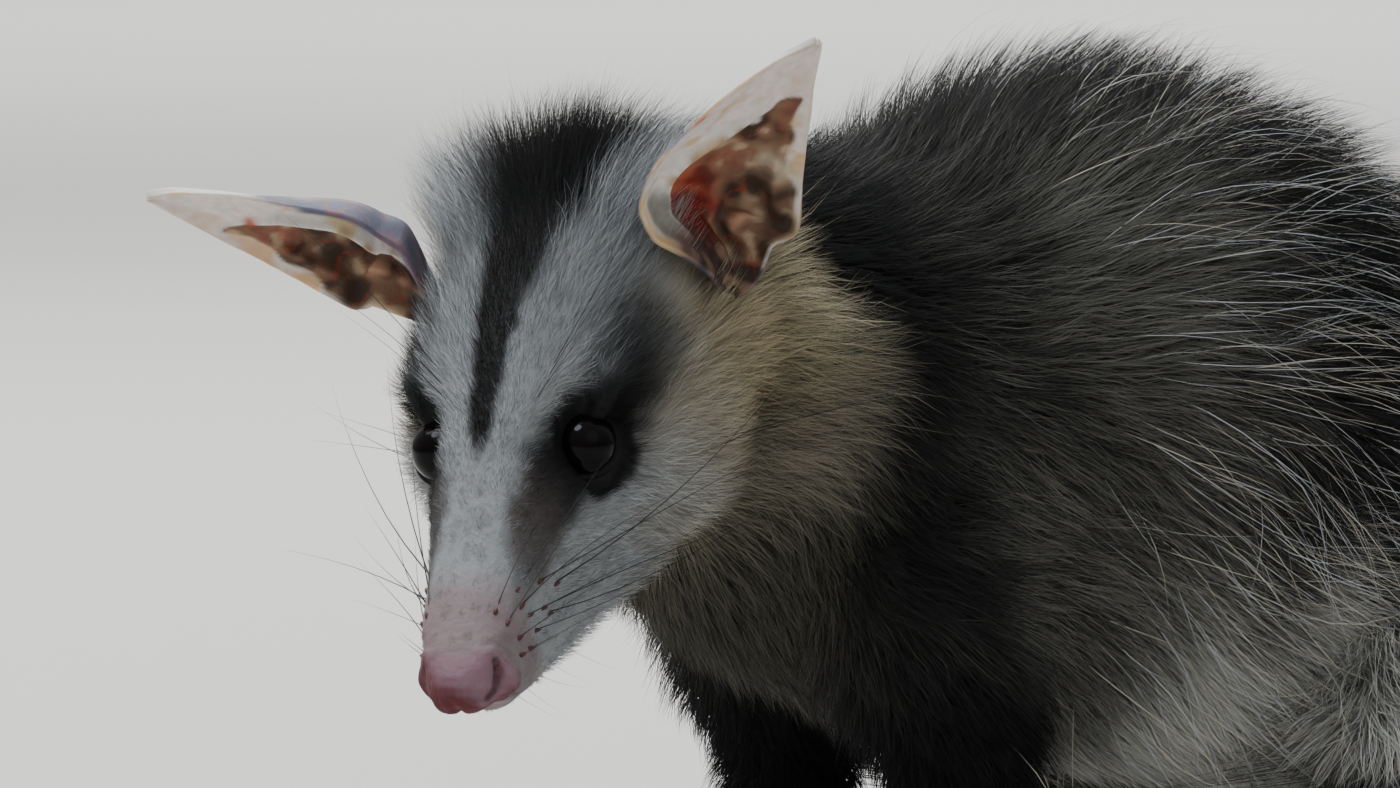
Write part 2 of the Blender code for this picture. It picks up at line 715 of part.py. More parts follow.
def build_limbs():
    """The twelve lengths of the limbs."""
    made = []
    for side in ("left", "right"):
        cuts = [(side_of(point, side, FRONT_STEP), side_of(way, side)) for point, way in (ELBOW, WRIST)]
        names = (f"upper_arm_{side}", f"forearm_{side}", "rest")
        arm = parted(limb("limb", FRONT_LEG, side, FRONT_STEP), names, cuts)
        remove(arm.pop())
        thigh = limb(f"thigh_{side}", THIGH, side, HIND_STEP)
        shank = limb("limb", SHANK, side, HIND_STEP)
        boolean(shank, grown(thigh, "socket"), "DIFFERENCE")
        shank.name = f"shank_{side}"
        made += arm + [thigh, shank]
        toes = [
            (angle, length, radius, (0.0, 2.2 * (2 - i), 0.0), True)
            for i, (angle, length, radius) in enumerate(TOES)
        ]
        root = (PALM[0][0] - 4.0, PALM[0][1], 0.0)
        pads = (PALM, ((-59.0, -28.3, 9.0), (7.5, 7.0, 8.6)))
        made.append(foot(f"forefoot_{side}", pads, toes, root, side, FRONT_STEP, WRIST, 420))
        toes = [
            (angle, length, radius, (0.0, 3.0 * (1.5 - i), 0.0), True)
            for i, (angle, length, radius) in enumerate(HIND_TOES)
        ]
        toes.append((-70.0, GREAT_TOE[1], GREAT_TOE[2], (12.0, 4.0, 0.0), False))
        root = (BALL[0][0] - 3.0, BALL[0][1], 0.0)
        heel = foot(f"hindfoot_{side}", (SOLE, BALL), toes, root, side, HIND_STEP, None, 440)
        boolean(shank, grown(heel, "socket"), "DIFFERENCE")
        made.append(heel)
    return made


class TrunkShell:
    """The surface of the neck and trunk at a share of its coat, by share of length and angle."""

    def __init__(self, share):
        points, sizes = trunk_rows(share, 8)
        self.frames = frames_along(points)
        self.sizes = sizes
        steps = [(Vector(b) - Vector(a)).length for a, b in zip(points, points[1:])]
        self.reach = np.concatenate([[0.0], np.cumsum(steps)])

    def at(self, distance, angle, off=0.0):
        """The point of the surface at a distance along the line, moved out by off."""
        spot = float(np.interp(distance, self.reach, np.arange(len(self.reach))))
        low = min(int(spot), len(self.frames) - 2)
        rest = spot - low
        point, _, side, up = (a.lerp(b, rest) for a, b in zip(self.frames[low], self.frames[low + 1]))
        size = [a + (b - a) * rest + off for a, b in zip(self.sizes[low], self.sizes[low + 1])]
        across, rise = egg(angle, *[max(part, 0.5) for part in size], 0.96)
        return point + side * across + up * rise

    def frame(self, distance, angle):
        """The point, its outward normal and the way back along the trunk."""
        here = self.at(distance, angle)
        back = (self.at(distance + 3.0, angle) - self.at(distance - 3.0, angle)).normalized()
        round_way = (self.at(distance, angle + 0.06) - self.at(distance, angle - 0.06)).normalized()
        normal = back.cross(round_way).normalized()
        middle = self.at(distance, angle, -10.0)
        if normal.dot(here - middle) < 0:
            normal.negate()
        return here, normal, back


def lock_form(place, normal, lie, lift, sizes, sway):
    """One flat tapered lock, rooted under the surface and bending along it."""
    length, half, thick, root = sizes
    side = lie.cross(normal).normalized()
    rings = []
    line = []
    for share, _, _ in (*LOCK_SHAPE, (1.0, 0.0, 0.0)):
        rise = -root + (root + lift) * (1.0 - (1.0 - share) ** 1.7)
        line.append(place + lie * length * share + normal * rise + side * sway * share * share)
    for i, (_, wide, deep) in enumerate(LOCK_SHAPE):
        ahead = (line[i + 1] - line[max(i - 1, 0)]).normalized()
        across = (side - ahead * side.dot(ahead)).normalized()
        up = across.cross(ahead)
        middle = line[i]
        rings.append(
            [
                middle + across * half * wide,
                middle + up * thick * deep,
                middle - across * half * wide,
                middle - up * thick * deep,
            ]
        )
    shape = bmesh.new()
    loops = [[shape.verts.new(p) for p in ring] for ring in rings]
    tip = shape.verts.new(line[-1])
    for first, second in zip(loops, loops[1:]):
        for i in range(4):
            j = (i + 1) % 4
            shape.faces.new((first[i], first[j], second[j], second[i]))
    for i in range(4):
        shape.faces.new((loops[-1][i], loops[-1][(i + 1) % 4], tip))
    shape.faces.new(list(reversed(loops[0])))
    bmesh.ops.recalc_face_normals(shape, faces=shape.faces)
    return to_object("lock", shape)


def coat_locks(shell, depth_of):
    """The locks over the neck and trunk, in rows that overlap along the lie of the coat."""
    chance = random.Random(41)
    made = []
    whole = shell.reach[-1]
    for row in range(LOCK_ROWS):
        share = LOCK_FROM + (LOCK_TO - LOCK_FROM) * row / (LOCK_ROWS - 1)
        for k in range(LOCKS_AROUND):
            angle = 2 * math.pi * (k + 0.5 * (row % 2) + chance.uniform(-0.16, 0.16)) / LOCKS_AROUND
            distance = whole * share + chance.uniform(-4.0, 4.0)
            place, normal, back = shell.frame(distance, angle)
            if place.z < 40.0 and normal.z < -0.3:
                continue
            down = Vector((0, 0, -1)) - normal * -normal.z
            lie = (back + down * 0.55 * max(0.0, 1.0 - abs(normal.z)) + normal.cross(back) * chance.uniform(-0.2, 0.2))
            lie = (lie - normal * lie.dot(normal)).normalized()
            length, half, thick, root = LOCK_SIZE
            scale = chance.uniform(0.88, 1.08) * (0.72 + 0.28 * math.sin(math.pi * min(1.0, share * 1.5)))
            lift = depth_of(share, angle) * (1.0 - CORE_SHARE) * chance.uniform(0.85, 1.05)
            sizes = (length * scale, half * scale, thick, root)
            made.append(lock_form(place, normal, lie, lift, sizes, chance.uniform(-4.0, 4.0)))
    return made


def fused(thing, forms):
    """Join many overlapping forms to an object in one go."""
    group = bpy.data.collections.new("locks")
    bpy.context.scene.collection.children.link(group)
    for form in forms:
        bpy.context.scene.collection.objects.unlink(form)
        group.objects.link(form)
    change = thing.modifiers.new("change", "BOOLEAN")
    change.operation = "UNION"
    change.operand_type = "COLLECTION"
    change.collection = group
    change.solver = "MANIFOLD"
    apply(thing)
    for form in list(group.objects):
        remove(form)
    bpy.data.collections.remove(group)
    return thing


def skirt_region(shell, gap):
    """The solid around the neck, whose rear face is the skirt."""
    start = shell.reach[-1] * SKIRT_PLACE
    rings = [[shell.at(0.5, a, 75.0) for a in ANGLES], [shell.at(start * 0.6, a, 60.0) for a in ANGLES]]
    for back, height in SKIRT:
        shift = gap * (2.5 if back > 30.0 else 1.0)
        rings.append([shell.at(start + back - shift, a, height + gap) for a in ANGLES])
    return to_object("skirt", loft(rings))


ANGLES = [2 * math.pi * i / 26 for i in range(26)]


def build_trunk(head, ears, limbs, tail):
    """Neck and torso, with their locks and with sockets for the parts let into them."""
    points, sizes = trunk_rows(CORE_SHARE, 1)
    core = tube("core", points, sizes, 22, power=0.96)
    shell = TrunkShell(CORE_SHARE)
    rows = np.array(TRUNK)

    def depth_of(share, angle):
        deep = float(np.interp(share * (len(rows) - 1), np.arange(len(rows)), rows[:, 6]))
        return deep * (1.0 if math.sin(angle) > 0.2 else 0.8)

    trunk = fused(core, coat_locks(shell, depth_of))
    neck, torso = copy_of(trunk, "neck"), copy_of(trunk, "torso")
    remove(trunk)
    boolean(neck, skirt_region(shell, GAP * 0.65), "INTERSECT", "MANIFOLD")
    boolean(torso, skirt_region(shell, -GAP * 0.65), "DIFFERENCE", "MANIFOLD")
    largest(neck)
    largest(torso)
    place = head_matrix()
    for body in (neck, torso):
        cutters = [
            head_form("skull", SKULL, SKULL_WIDEST, GAP + 0.2),
            head_form("jaw", JAW, JAW_WIDEST, GAP + 0.2),
        ]
        for middle, size in PADS[2:]:
            for sign in (1, -1):
                spot = (middle[0], middle[1] * sign, middle[2])
                cutters.append(ball("pad", spot, [part + GAP + 0.2 for part in size], place))
        for cutter in cutters:
            boolean(body, cutter, "DIFFERENCE", "MANIFOLD")
    for part in ears:
        boolean(neck, grown(part, "socket"), "DIFFERENCE", "MANIFOLD")
    for part in limbs + tail:
        if part.name.startswith(("upper_arm", "forearm", "thigh", "shank", "hindfoot", "tail_base")):
            boolean(torso, grown(part, "socket"), "DIFFERENCE", "MANIFOLD")
        if part.name.startswith(("upper_arm", "forearm")):
            boolean(neck, grown(part, "socket"), "DIFFERENCE", "MANIFOLD")
    return [largest(neck), largest(torso)]


def material(name):
    """A material of the coat or skin."""
    colour, rough = COLOURS[name]
    made = bpy.data.materials.new(name)
    made.use_nodes = True
    shader = made.node_tree.nodes["Principled BSDF"]
    shader.inputs["Base Color"].default_value = colour
    shader.inputs["Roughness"].default_value = rough
    made.diffuse_color = colour
    return made


SKINS = {
    "head": "face_fur",
    "nose": "pink_skin",
    "eye": "wet_black",
    "ear": "ear_skin",
    "neck": "ruff_fur",
    "torso": "grey_fur",
    "upper": "black_fur",
    "forearm": "black_fur",
    "thigh": "black_fur",
    "shank": "black_fur",
    "forefoot": "foot_skin",
    "hindfoot": "foot_skin",
    "tail_base": "black_fur",
    "tail_middle": "tail_black",
    "tail_tip": "tail_pale",
}


def main():
    """Build every node."""
    for thing in list(bpy.data.objects):
        bpy.data.objects.remove(thing)
    head = build_head()
    ears = build_ears(head[0])
    limbs = build_limbs()
    tail = build_tail()
    nodes = head + ears + limbs + tail + build_trunk(head[0], ears, limbs, tail)
    shift = Matrix.Diagonal((MM, MM, MM, 1.0)) @ Matrix.Translation((-BOX_MIDDLE[0], -BOX_MIDDLE[1], 0.0))
    made = {}
    for node in nodes:
        key = next(key for key in SKINS if node.name.startswith(key))
        coat = SKINS[key]
        if coat not in made:
            made[coat] = material(coat)
        own = made[coat].copy()
        own.name = f"{node.name}_{coat}"
        node.data.materials.clear()
        node.data.materials.append(own)
        node.data.transform(shift)
        node.data.update()
    for base in made.values():
        bpy.data.materials.remove(base)


main()
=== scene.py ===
"""White-eared opossum, as a museum model: one skin, its coat of hair, ears, eyes and claws.

The tables give sections of the living form in millimetres, in the same terms as the solids.
Skin and coat are grown from them; markings are laid in the frame of the head and of the trunk.
"""

import logging
import math
from dataclasses import dataclass, field
from enum import Enum
from typing import Callable, Dict, List, Optional, Sequence, Tuple

import bmesh
import bpy
import numpy as np
from mathutils import Matrix, Vector

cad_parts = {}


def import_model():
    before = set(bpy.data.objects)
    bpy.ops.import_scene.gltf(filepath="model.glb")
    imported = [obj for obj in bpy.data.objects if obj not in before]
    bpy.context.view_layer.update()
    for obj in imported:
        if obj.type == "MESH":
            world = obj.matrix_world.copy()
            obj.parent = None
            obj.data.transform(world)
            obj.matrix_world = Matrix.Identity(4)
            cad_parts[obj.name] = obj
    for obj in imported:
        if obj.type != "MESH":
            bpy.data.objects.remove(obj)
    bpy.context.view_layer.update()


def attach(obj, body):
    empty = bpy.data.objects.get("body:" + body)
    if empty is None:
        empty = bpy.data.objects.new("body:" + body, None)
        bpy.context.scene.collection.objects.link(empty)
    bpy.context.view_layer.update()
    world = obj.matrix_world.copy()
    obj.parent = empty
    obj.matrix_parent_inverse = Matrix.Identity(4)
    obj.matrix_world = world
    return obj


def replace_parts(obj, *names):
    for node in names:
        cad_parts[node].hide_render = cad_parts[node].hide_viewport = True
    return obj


LOG = logging.getLogger("opossum")
MM = 0.001
BOX_MIDDLE = np.array([95.87, 8.26, 0.0])
SEED = 7
SKIN_VOXEL = 1.9
ROOT_DEPTH = 0.4
FLOOR_GAP = 0.15
BLADE_UV = 0.0011
UV_LOW = np.array([-190.0, -95.0, -2.0])
UV_SPAN = 590.0
HEAD_ROUND, BODY_ROUND = 0.92, 0.97

Array = np.ndarray
Row = Tuple[float, ...]

HEAD_PLACE = (-110.0, -10.0, 147.0)
HEAD_YAW, HEAD_PITCH, HEAD_ROLL = 31.5, 35.5, 5.0

SKULL: Tuple[Row, ...] = (
    (104.6, 5.7, -1.8, -12.8, 0.2),
    (100.0, 7.4, 0.4, -14.0, 0.3),
    (94.0, 8.6, 2.6, -14.6, 0.5),
    (86.0, 9.8, 5.6, -15.0, 0.8),
    (78.0, 11.2, 10.0, -15.6, 1.2),
    (69.0, 13.4, 15.8, -16.6, 1.9),
    (60.0, 16.6, 21.4, -18.6, 2.4),
    (50.0, 20.6, 26.6, -21.0, 3.5),
    (40.0, 24.0, 30.4, -23.0, 5.0),
    (28.0, 25.8, 32.4, -24.0, 6.2),
    (14.0, 25.4, 32.4, -24.0, 7.6),
    (1.0, 23.0, 29.8, -22.0, 9.0),
    (-12.0, 19.0, 24.0, -18.0, 9.0),
)
SKULL_WIDEST = -3.0
JAW: Tuple[Row, ...] = (
    (98.5, 4.6, -13.0, -17.6, 0.2),
    (92.0, 7.0, -12.5, -20.4, 0.4),
    (84.0, 8.8, -12.5, -22.6, 0.8),
    (75.0, 11.0, -12.0, -24.6, 1.3),
    (63.0, 14.4, -11.0, -26.2, 2.0),
    (49.0, 18.4, -9.0, -27.4, 3.0),
    (33.0, 20.8, -7.0, -27.6, 4.5),
    (17.0, 19.6, -5.0, -25.6, 6.0),
    (4.0, 15.0, -3.0, -21.0, 6.0),
)
JAW_WIDEST = -15.0
PADS: Tuple[Tuple[Row, Row], ...] = (
    ((93.0, 5.4, -9.6), (9.5, 4.9, 5.2)),
    ((47.0, 17.0, 15.4), (9.0, 5.4, 3.8)),
    ((34.0, 18.5, -6.0), (18.0, 10.0, 15.0)),
    ((103.5, 0.6, -6.3), (5.8, 5.3, 5.5)),
    ((103.7, 1.0, -9.2), (4.9, 4.3, 4.2)),
    ((99.4, 4.5, -9.0), (5.2, 4.2, 4.9)),
)
EYE_PLACE = (54.4, 13.7, 7.1)
EYE_RADIUS = 6.0
LID_RADIUS = EYE_RADIUS + 0.45
EYE_LOOK = (0.50, 0.60, 0.62)
EYE_OPEN = math.radians(64.0)
EYE_CORNER = (1.0, -0.25, -0.55)
NOSTRIL = (102.4, 6.8, -5.6)
NOSTRIL_SLIT: Tuple[Row, ...] = (
    (101.2, 6.9, -3.4),
    (101.8, 6.9, -5.2),
    (102.8, 6.6, -6.4),
    (104.0, 6.0, -7.6),
    (105.5, 5.2, -8.1),
)
SNOUT_CREASES = ((99.2, 0.22), (97.5, 0.14), (95.6, 0.08))
MOUTH: Tuple[Row, ...] = (
    (101.6, 0.0, -13.6),
    (99.0, 5.4, -13.4),
    (94.0, 8.4, -13.4),
    (86.0, 10.3, -13.8),
    (77.0, 12.4, -14.8),
    (68.0, 15.2, -17.2),
    (63.0, 16.8, -19.6),
)
EARS: Dict[str, Tuple[Row, Row, Row]] = {
    "left": ((15.0, 25.0, 18.0), (-10.9, 35.0, 40.0), (-24.1, 18.9, -20.7)),
    "right": ((20.0, -25.0, 21.0), (7.3, -46.0, 27.4), (-11.9, -18.4, -27.2)),
}
EAR_ROWS: Tuple[Row, ...] = (
    (-0.105, 11.6, 11.8, 1.2, 1.4),
    (-0.095, 9.6, 13.0, 2.2, 1.6),
    (-0.07, 7.0, 13.8, 3.0, 2.0),
    (-0.02, 3.4, 14.2, 5.5, 1.9),
    (0.04, -3.0, 14.0, 8.0, 1.8),
    (0.10, -11.5, 13.4, 9.5, 1.6),
    (0.135, -14.2, 13.4, 9.8, 1.55),
    (0.16, -15.8, 15.6, 10.0, 1.5),
    (0.19, -17.4, 16.7, 9.9, 1.45),
    (0.24, -19.6, 16.0, 9.5, 1.4),
    (0.34, -21.3, 13.4, 8.2, 1.25),
    (0.45, -21.0, 10.6, 6.6, 1.15),
    (0.57, -18.2, 8.0, 5.0, 1.05),
    (0.68, -15.4, 6.0, 3.6, 1.0),
    (0.79, -11.6, 3.6, 2.2, 0.95),
    (0.88, -7.6, 2.2, 1.2, 0.85),
    (0.94, -3.2, 1.4, 0.6, 0.8),
    (0.965, -0.8, 0.9, 0.2, 0.7),
)
EAR_BAND: Dict[str, Tuple[Row, ...]] = {
    "left": (
        (-0.1, -0.70), (0.10, -0.60), (0.28, -0.48), (0.36, -0.34), (0.45, -0.14),
        (0.61, 0.24), (0.69, 0.46), (0.735, 0.72), (0.765, 1.5),
    ),
    "right": ((-0.1, 0.18), (0.30, 0.20), (0.52, 0.24), (0.62, 0.50), (0.70, 0.90), (0.76, 1.5)),
}
EAR_RIM = {"left": (3.0, 4.0), "right": (5.5, 2.5)}
EAR_RIM_FADE = ((-0.1, 1.0), (0.2, 1.0), (0.5, 0.8), (0.8, 0.4), (0.97, 0.05))
TRUNK: Tuple[Row, ...] = (
    (-121.0, -16.0, 141.0, 15.0, 17.0, 16.0, 2.0),
    (-109.0, -9.0, 144.0, 23.0, 23.0, 25.0, 6.0),
    (-93.0, -4.0, 139.0, 29.0, 28.0, 35.0, 11.0),
    (-72.0, -1.0, 130.0, 34.0, 33.0, 44.0, 14.0),
    (-46.0, 0.0, 123.0, 37.0, 39.0, 50.0, 16.0),
    (-18.0, 0.0, 121.0, 40.0, 49.0, 56.0, 18.0),
    (10.0, 0.0, 119.0, 42.0, 53.0, 58.0, 19.0),
    (38.0, 0.0, 111.0, 43.0, 51.0, 56.0, 19.0),
    (65.0, 0.0, 96.0, 41.0, 42.0, 48.0, 18.0),
    (88.0, 0.0, 74.0, 35.0, 36.0, 38.0, 17.0),
    (105.0, 0.0, 52.0, 27.0, 27.0, 28.0, 15.0),
    (118.0, 0.0, 36.0, 16.0, 17.0, 18.0, 10.0),
    (127.0, 0.0, 25.0, 7.0, 8.0, 8.0, 5.0),
)
FRONT_LEG: Tuple[Row, ...] = (
    (-52.0, -20.0, 118.0, 12.0, 20.0, 4.0),
    (-54.0, -25.0, 98.0, 13.5, 20.0, 8.0),
    (-50.0, -27.5, 78.0, 12.0, 18.0, 8.5),
    (-44.0, -29.0, 60.0, 9.8, 13.5, 8.0),
    (-47.0, -29.2, 43.0, 8.0, 10.0, 5.0),
    (-52.0, -28.8, 27.0, 6.8, 7.6, 2.4),
    (-57.0, -28.4, 14.0, 6.4, 6.0, 1.4),
    (-60.0, -28.2, 8.0, 6.2, 5.4, 1.2),
)
THIGH: Tuple[Row, ...] = (
    (88.0, -23.0, 84.0, 12.0, 24.0, 5.0),
    (78.0, -31.0, 74.0, 16.0, 27.0, 9.0),
    (64.0, -38.0, 64.0, 16.0, 23.0, 8.0),
    (52.0, -41.0, 54.0, 13.5, 16.0, 6.0),
    (45.0, -42.0, 47.0, 9.0, 9.5, 5.0),
)
SHANK: Tuple[Row, ...] = (
    (48.0, -42.0, 50.0, 9.0, 9.0, 3.5),
    (51.0, -42.0, 42.0, 10.0, 11.0, 4.5),
    (60.0, -41.7, 32.0, 9.4, 11.0, 4.0),
    (70.0, -41.0, 23.0, 8.0, 9.2, 2.8),
    (79.0, -40.4, 15.0, 7.2, 7.8, 1.8),
    (86.0, -40.0, 9.0, 6.8, 6.4, 1.2),
)
FRONT_STEP, HIND_STEP = 6.0, -4.0
LIMBS = ((FRONT_LEG, FRONT_STEP), (THIGH, HIND_STEP), (SHANK, HIND_STEP))
PALM = ((-66.0, -28.4, 6.0), (10.5, 8.6, 6.7))
WRIST_PAD = ((-59.0, -28.3, 9.0), (7.5, 7.0, 8.6))
TOES: Tuple[Row, ...] = (
    (-62.0, 14.0, 2.5),
    (-28.0, 18.0, 2.5),
    (-4.0, 19.5, 2.5),
    (20.0, 18.5, 2.5),
    (50.0, 15.0, 2.5),
)
SOLE = ((62.0, -40.5, 5.9), (24.0, 7.6, 6.6))
BALL = ((44.0, -40.5, 5.6), (10.0, 9.6, 6.2))
FOOT_PADS = ((PALM, FRONT_STEP), (WRIST_PAD, FRONT_STEP), (SOLE, HIND_STEP), (BALL, HIND_STEP))
HIND_TOES: Tuple[Row, ...] = ((-34.0, 15.0, 2.7), (-12.0, 18.0, 2.7), (8.0, 18.5, 2.7), (28.0, 16.5, 2.7))
GREAT_TOE: Row = (-70.0, 17.0, 3.2)
TOE_GAP, HIND_TOE_GAP = 2.2, 3.0
CLAW_SPAN, CLAW_ROOTED = 6.2, 1.0
TOE_PROFILE: Tuple[Row, ...] = (
    (0.0, 3.6, 1.15),
    (0.2, 4.4, 0.98),
    (0.38, 4.5, 1.06),
    (0.55, 3.6, 0.92),
    (0.74, 2.9, 1.0),
    (0.92, 2.5, 1.02),
    (1.0, 2.3, 0.7),
)
TAIL: Tuple[Row, ...] = (
    (112.0, 0.0, 46.0, 14.0, 4.0),
    (124.0, 0.0, 34.0, 12.0, 5.0),
    (137.0, -0.5, 23.0, 10.0, 5.0),
    (154.0, -2.0, 13.6, 8.8, 3.5),
    (178.0, -5.0, 8.6, 8.0, 0.8),
    (210.0, -12.0, 7.3, 7.4, 0.0),
    (248.0, -21.0, 6.5, 6.6, 0.0),
    (288.0, -23.0, 5.7, 5.8, 0.0),
    (326.0, -13.0, 4.9, 5.0, 0.0),
    (357.0, 10.0, 4.1, 4.2, 0.0),
    (375.0, 40.0, 3.4, 3.5, 0.0),
    (374.0, 70.0, 2.6, 2.7, 0.0),
    (357.0, 92.0, 1.6, 1.7, 0.0),
)


class Side(Enum):
    """A side of the animal, with the sign of its Y in the head's frame."""

    LEFT = 1
    RIGHT = -1

    @property
    def label(self) -> str:
        """The side's name in small letters."""
        return self.name.lower()


def unit(vectors: Array) -> Array:
    """Vectors of length one along the last axis."""
    return vectors / np.maximum(np.linalg.norm(vectors, axis=-1, keepdims=True), 1e-9)


def step(low: float, high: float, values: Array) -> Array:
    """A smooth step from 0 at low to 1 at high."""
    t = np.clip((values - low) / (high - low), 0.0, 1.0)
    return t * t * (3.0 - 2.0 * t)


def mix(first: Array, second: Array, share: Array) -> Array:
    """Blend two sets of colours or vectors."""
    share = np.asarray(share)[..., None]
    return first * (1.0 - share) + second * share


def mix_plain(first: Array, second: Array, share: Array) -> Array:
    """Blend two sets of numbers."""
    return first * (1.0 - share) + second * share


def bell(values: Array, middle: float = 0.0, width: float = 1.0) -> Array:
    """A bell of height 1 round a middle."""
    return np.exp(-(((values - middle) / width) ** 2))


def spot(*spans: Tuple[Array, float, float]) -> Array:
    """A bell over several values, each given with its middle and width."""
    return np.exp(-sum(((values - middle) / width) ** 2 for values, middle, width in spans))


def distance(points: Array, place: Row, sizes: Row = (1.0, 1.0, 1.0)) -> Array:
    """How far points are from a place, measured in the given sizes."""
    return np.linalg.norm((points - np.array(place)) / np.array(sizes), axis=1)


def mirrored(points: Array) -> Array:
    """Points of the head's frame, all moved to its left side."""
    return np.column_stack([points[:, 0], np.abs(points[:, 1]), points[:, 2]])


def smooth_rows(rows: Sequence[Row], steps: int) -> Array:
    """Rows on a smooth curve through the given ones.

    Args:
        rows: Rows of numbers.
        steps: Steps between each two of them.

    Returns:
        The finer rows.
    """
    table = np.array(rows, float)
    ends = np.vstack([2 * table[0] - table[1], table, 2 * table[-1] - table[-2]])
    found = []
    for i in range(len(table) - 1):
        before, start, end, after = ends[i : i + 4]
        for k in range(steps):
            t = k / steps
            bend = 2 * before - 5 * start + 4 * end - after
            turn = 3 * start - before - 3 * end + after
            found.append(0.5 * (2 * start + (end - before) * t + bend * t * t + turn * t**3))
    found.append(table[-1])
    return np.array(found)


def cell_key(x: Array, y: Array, z: Array) -> Array:
    """A scattered whole number for each cell of a grid."""
    return (x * 73856093) ^ (y * 19349663) ^ (z * 83492791)


def value_noise(points: Array, size: float, seed: int) -> Array:
    """Smooth noise from -0.5 to 0.5 at points, with features of about the given size.

    Args:
        points: Places.
        size: Size of the features.
        seed: Which noise.

    Returns:
        One number for each place.
    """
    grid = points / size
    low = np.floor(grid).astype(np.int64)
    part = grid - low
    part = part * part * (3 - 2 * part)
    total = np.zeros(len(points))
    for corner in np.ndindex(2, 2, 2):
        mixed = cell_key(*(low + corner).T) ^ (seed * 2654435761)
        mixed = (mixed ^ (mixed >> 13)) * 1274126177
        value = ((mixed ^ (mixed >> 16)) & 0xFFFF) / 65535.0
        wx, wy, wz = np.where(corner, part, 1 - part).T
        total += value * wx * wy * wz
    return total - 0.5


def nose_turn(along: Array) -> Array:
    """How far the tip of the nose stands to the left, in millimetres."""
    return 1.4 * step(91.0, 103.0, along)


def circle(sides: int) -> Tuple[Array, Array]:
    """Cosines and sines round a circle."""
    angles = np.linspace(0, 2 * math.pi, sides, endpoint=False)
    return np.cos(angles), np.sin(angles)


def rounded(turn: Array, power: float) -> Array:
    """Cosines or sines of a fuller ring than a circle."""
    return np.sign(turn) * np.abs(turn) ** power


def linked(name: str, data: bpy.types.ID) -> bpy.types.Object:
    """A new object in the scene.

    Args:
        name: Its name.
        data: Its mesh, lamp or camera.

    Returns:
        The object.
    """
    made = bpy.data.objects.new(name, data)
    bpy.context.scene.collection.objects.link(made)
    return made


def read(items: bpy.types.bpy_prop_collection, name: str, kind: type = float) -> Array:
    """One property of three numbers for each item.

    Args:
        items: Vertices or triangles.
        name: The property.
        kind: Kind of number.

    Returns:
        One row for each item.
    """
    values = np.empty(len(items) * 3, kind)
    items.foreach_get(name, values)
    return values.reshape(-1, 3)


def set_inputs(node: bpy.types.Node, **values: float) -> bpy.types.Node:
    """Set inputs of a node; an underscore in a name stands for a space.

    Args:
        node: The node.
        values: The value of each input.

    Returns:
        The node.
    """
    for name, value in values.items():
        node.inputs[name.replace("_", " ")].default_value = value
    return node


class HeadFrame:
    """The frame of the head: nose +X, left side +Y, crown +Z, in millimetres."""

    def __init__(self) -> None:
        """Work out how the head is turned."""
        turn = (
            Matrix.Rotation(math.pi + math.radians(HEAD_YAW), 3, "Z")
            @ Matrix.Rotation(math.radians(HEAD_PITCH), 3, "Y")
            @ Matrix.Rotation(math.radians(HEAD_ROLL), 3, "X")
        )
        self.turn = np.array(turn)
        self.place = np.array(HEAD_PLACE)

    def out(self, points: Array) -> Array:
        """Points of the head's frame, in the model's frame."""
        return np.asarray(points) @ self.turn.T + self.place

    def into(self, points: Array) -> Array:
        """Points of the model's frame, in the head's frame."""
        return (np.asarray(points) - self.place) @ self.turn

    def way_out(self, ways: Array) -> Array:
        """Directions of the head's frame, in the model's frame."""
        return np.asarray(ways) @ self.turn.T

    def way_into(self, ways: Array) -> Array:
        """Directions of the model's frame, in the head's frame."""
        return np.asarray(ways) @ self.turn


HEAD = HeadFrame()


class Line:
    """A curved line with values along it."""

    def __init__(self, rows: Array, values: Array) -> None:
        """Keep the points and what is known at them.

        Args:
            rows: Points of the line.
            values: One row of values for each point.
        """
        self.points = np.asarray(rows, float)
        self.values = np.asarray(values, float)
        steps = np.linalg.norm(np.diff(self.points, axis=0), axis=1)
        self.reach = np.concatenate([[0.0], np.cumsum(steps)])

    @classmethod
    def through(cls, stations: Sequence[Row], steps: int) -> "Line":
        """A smooth line through rows of three coordinates and values."""
        rows = smooth_rows(stations, steps)
        return cls(rows[:, :3], rows[:, 3:])

    def nearest(self, places: Array) -> Tuple[Array, Array, Array, Array]:
        """The nearest spot of the line for each place.

        Args:
            places: Points.

        Returns:
            Distance to the line, reach along it, values there and the line's direction there.
        """
        best = np.full(len(places), 1e9)
        reach = np.zeros(len(places))
        values = np.zeros((len(places), self.values.shape[1]))
        ways = np.zeros((len(places), 3))
        for i in range(len(self.points) - 1):
            start, end = self.points[i], self.points[i + 1]
            span = end - start
            share = np.clip((places - start) @ span / (span @ span), 0.0, 1.0)
            off = np.linalg.norm(places - (start + share[:, None] * span), axis=1)
            closer = off < best
            best[closer] = off[closer]
            reach[closer] = self.reach[i] + share[closer] * (self.reach[i + 1] - self.reach[i])
            values[closer] = mix(self.values[i], self.values[i + 1], share[closer])
            ways[closer] = span / np.linalg.norm(span)
        return best, reach, values, ways


def sided(rows: Sequence[Row], side: Side, move: float) -> Array:
    """Rows given for the left side, on the given side.

    Args:
        rows: The rows.
        side: The side.
        move: How far the right side's rows stand to the rear.

    Returns:
        The rows.
    """
    table = np.array(rows, float)
    if side is Side.RIGHT:
        table[:, 1] *= -1.0
        table[:, 0] += move
    return table


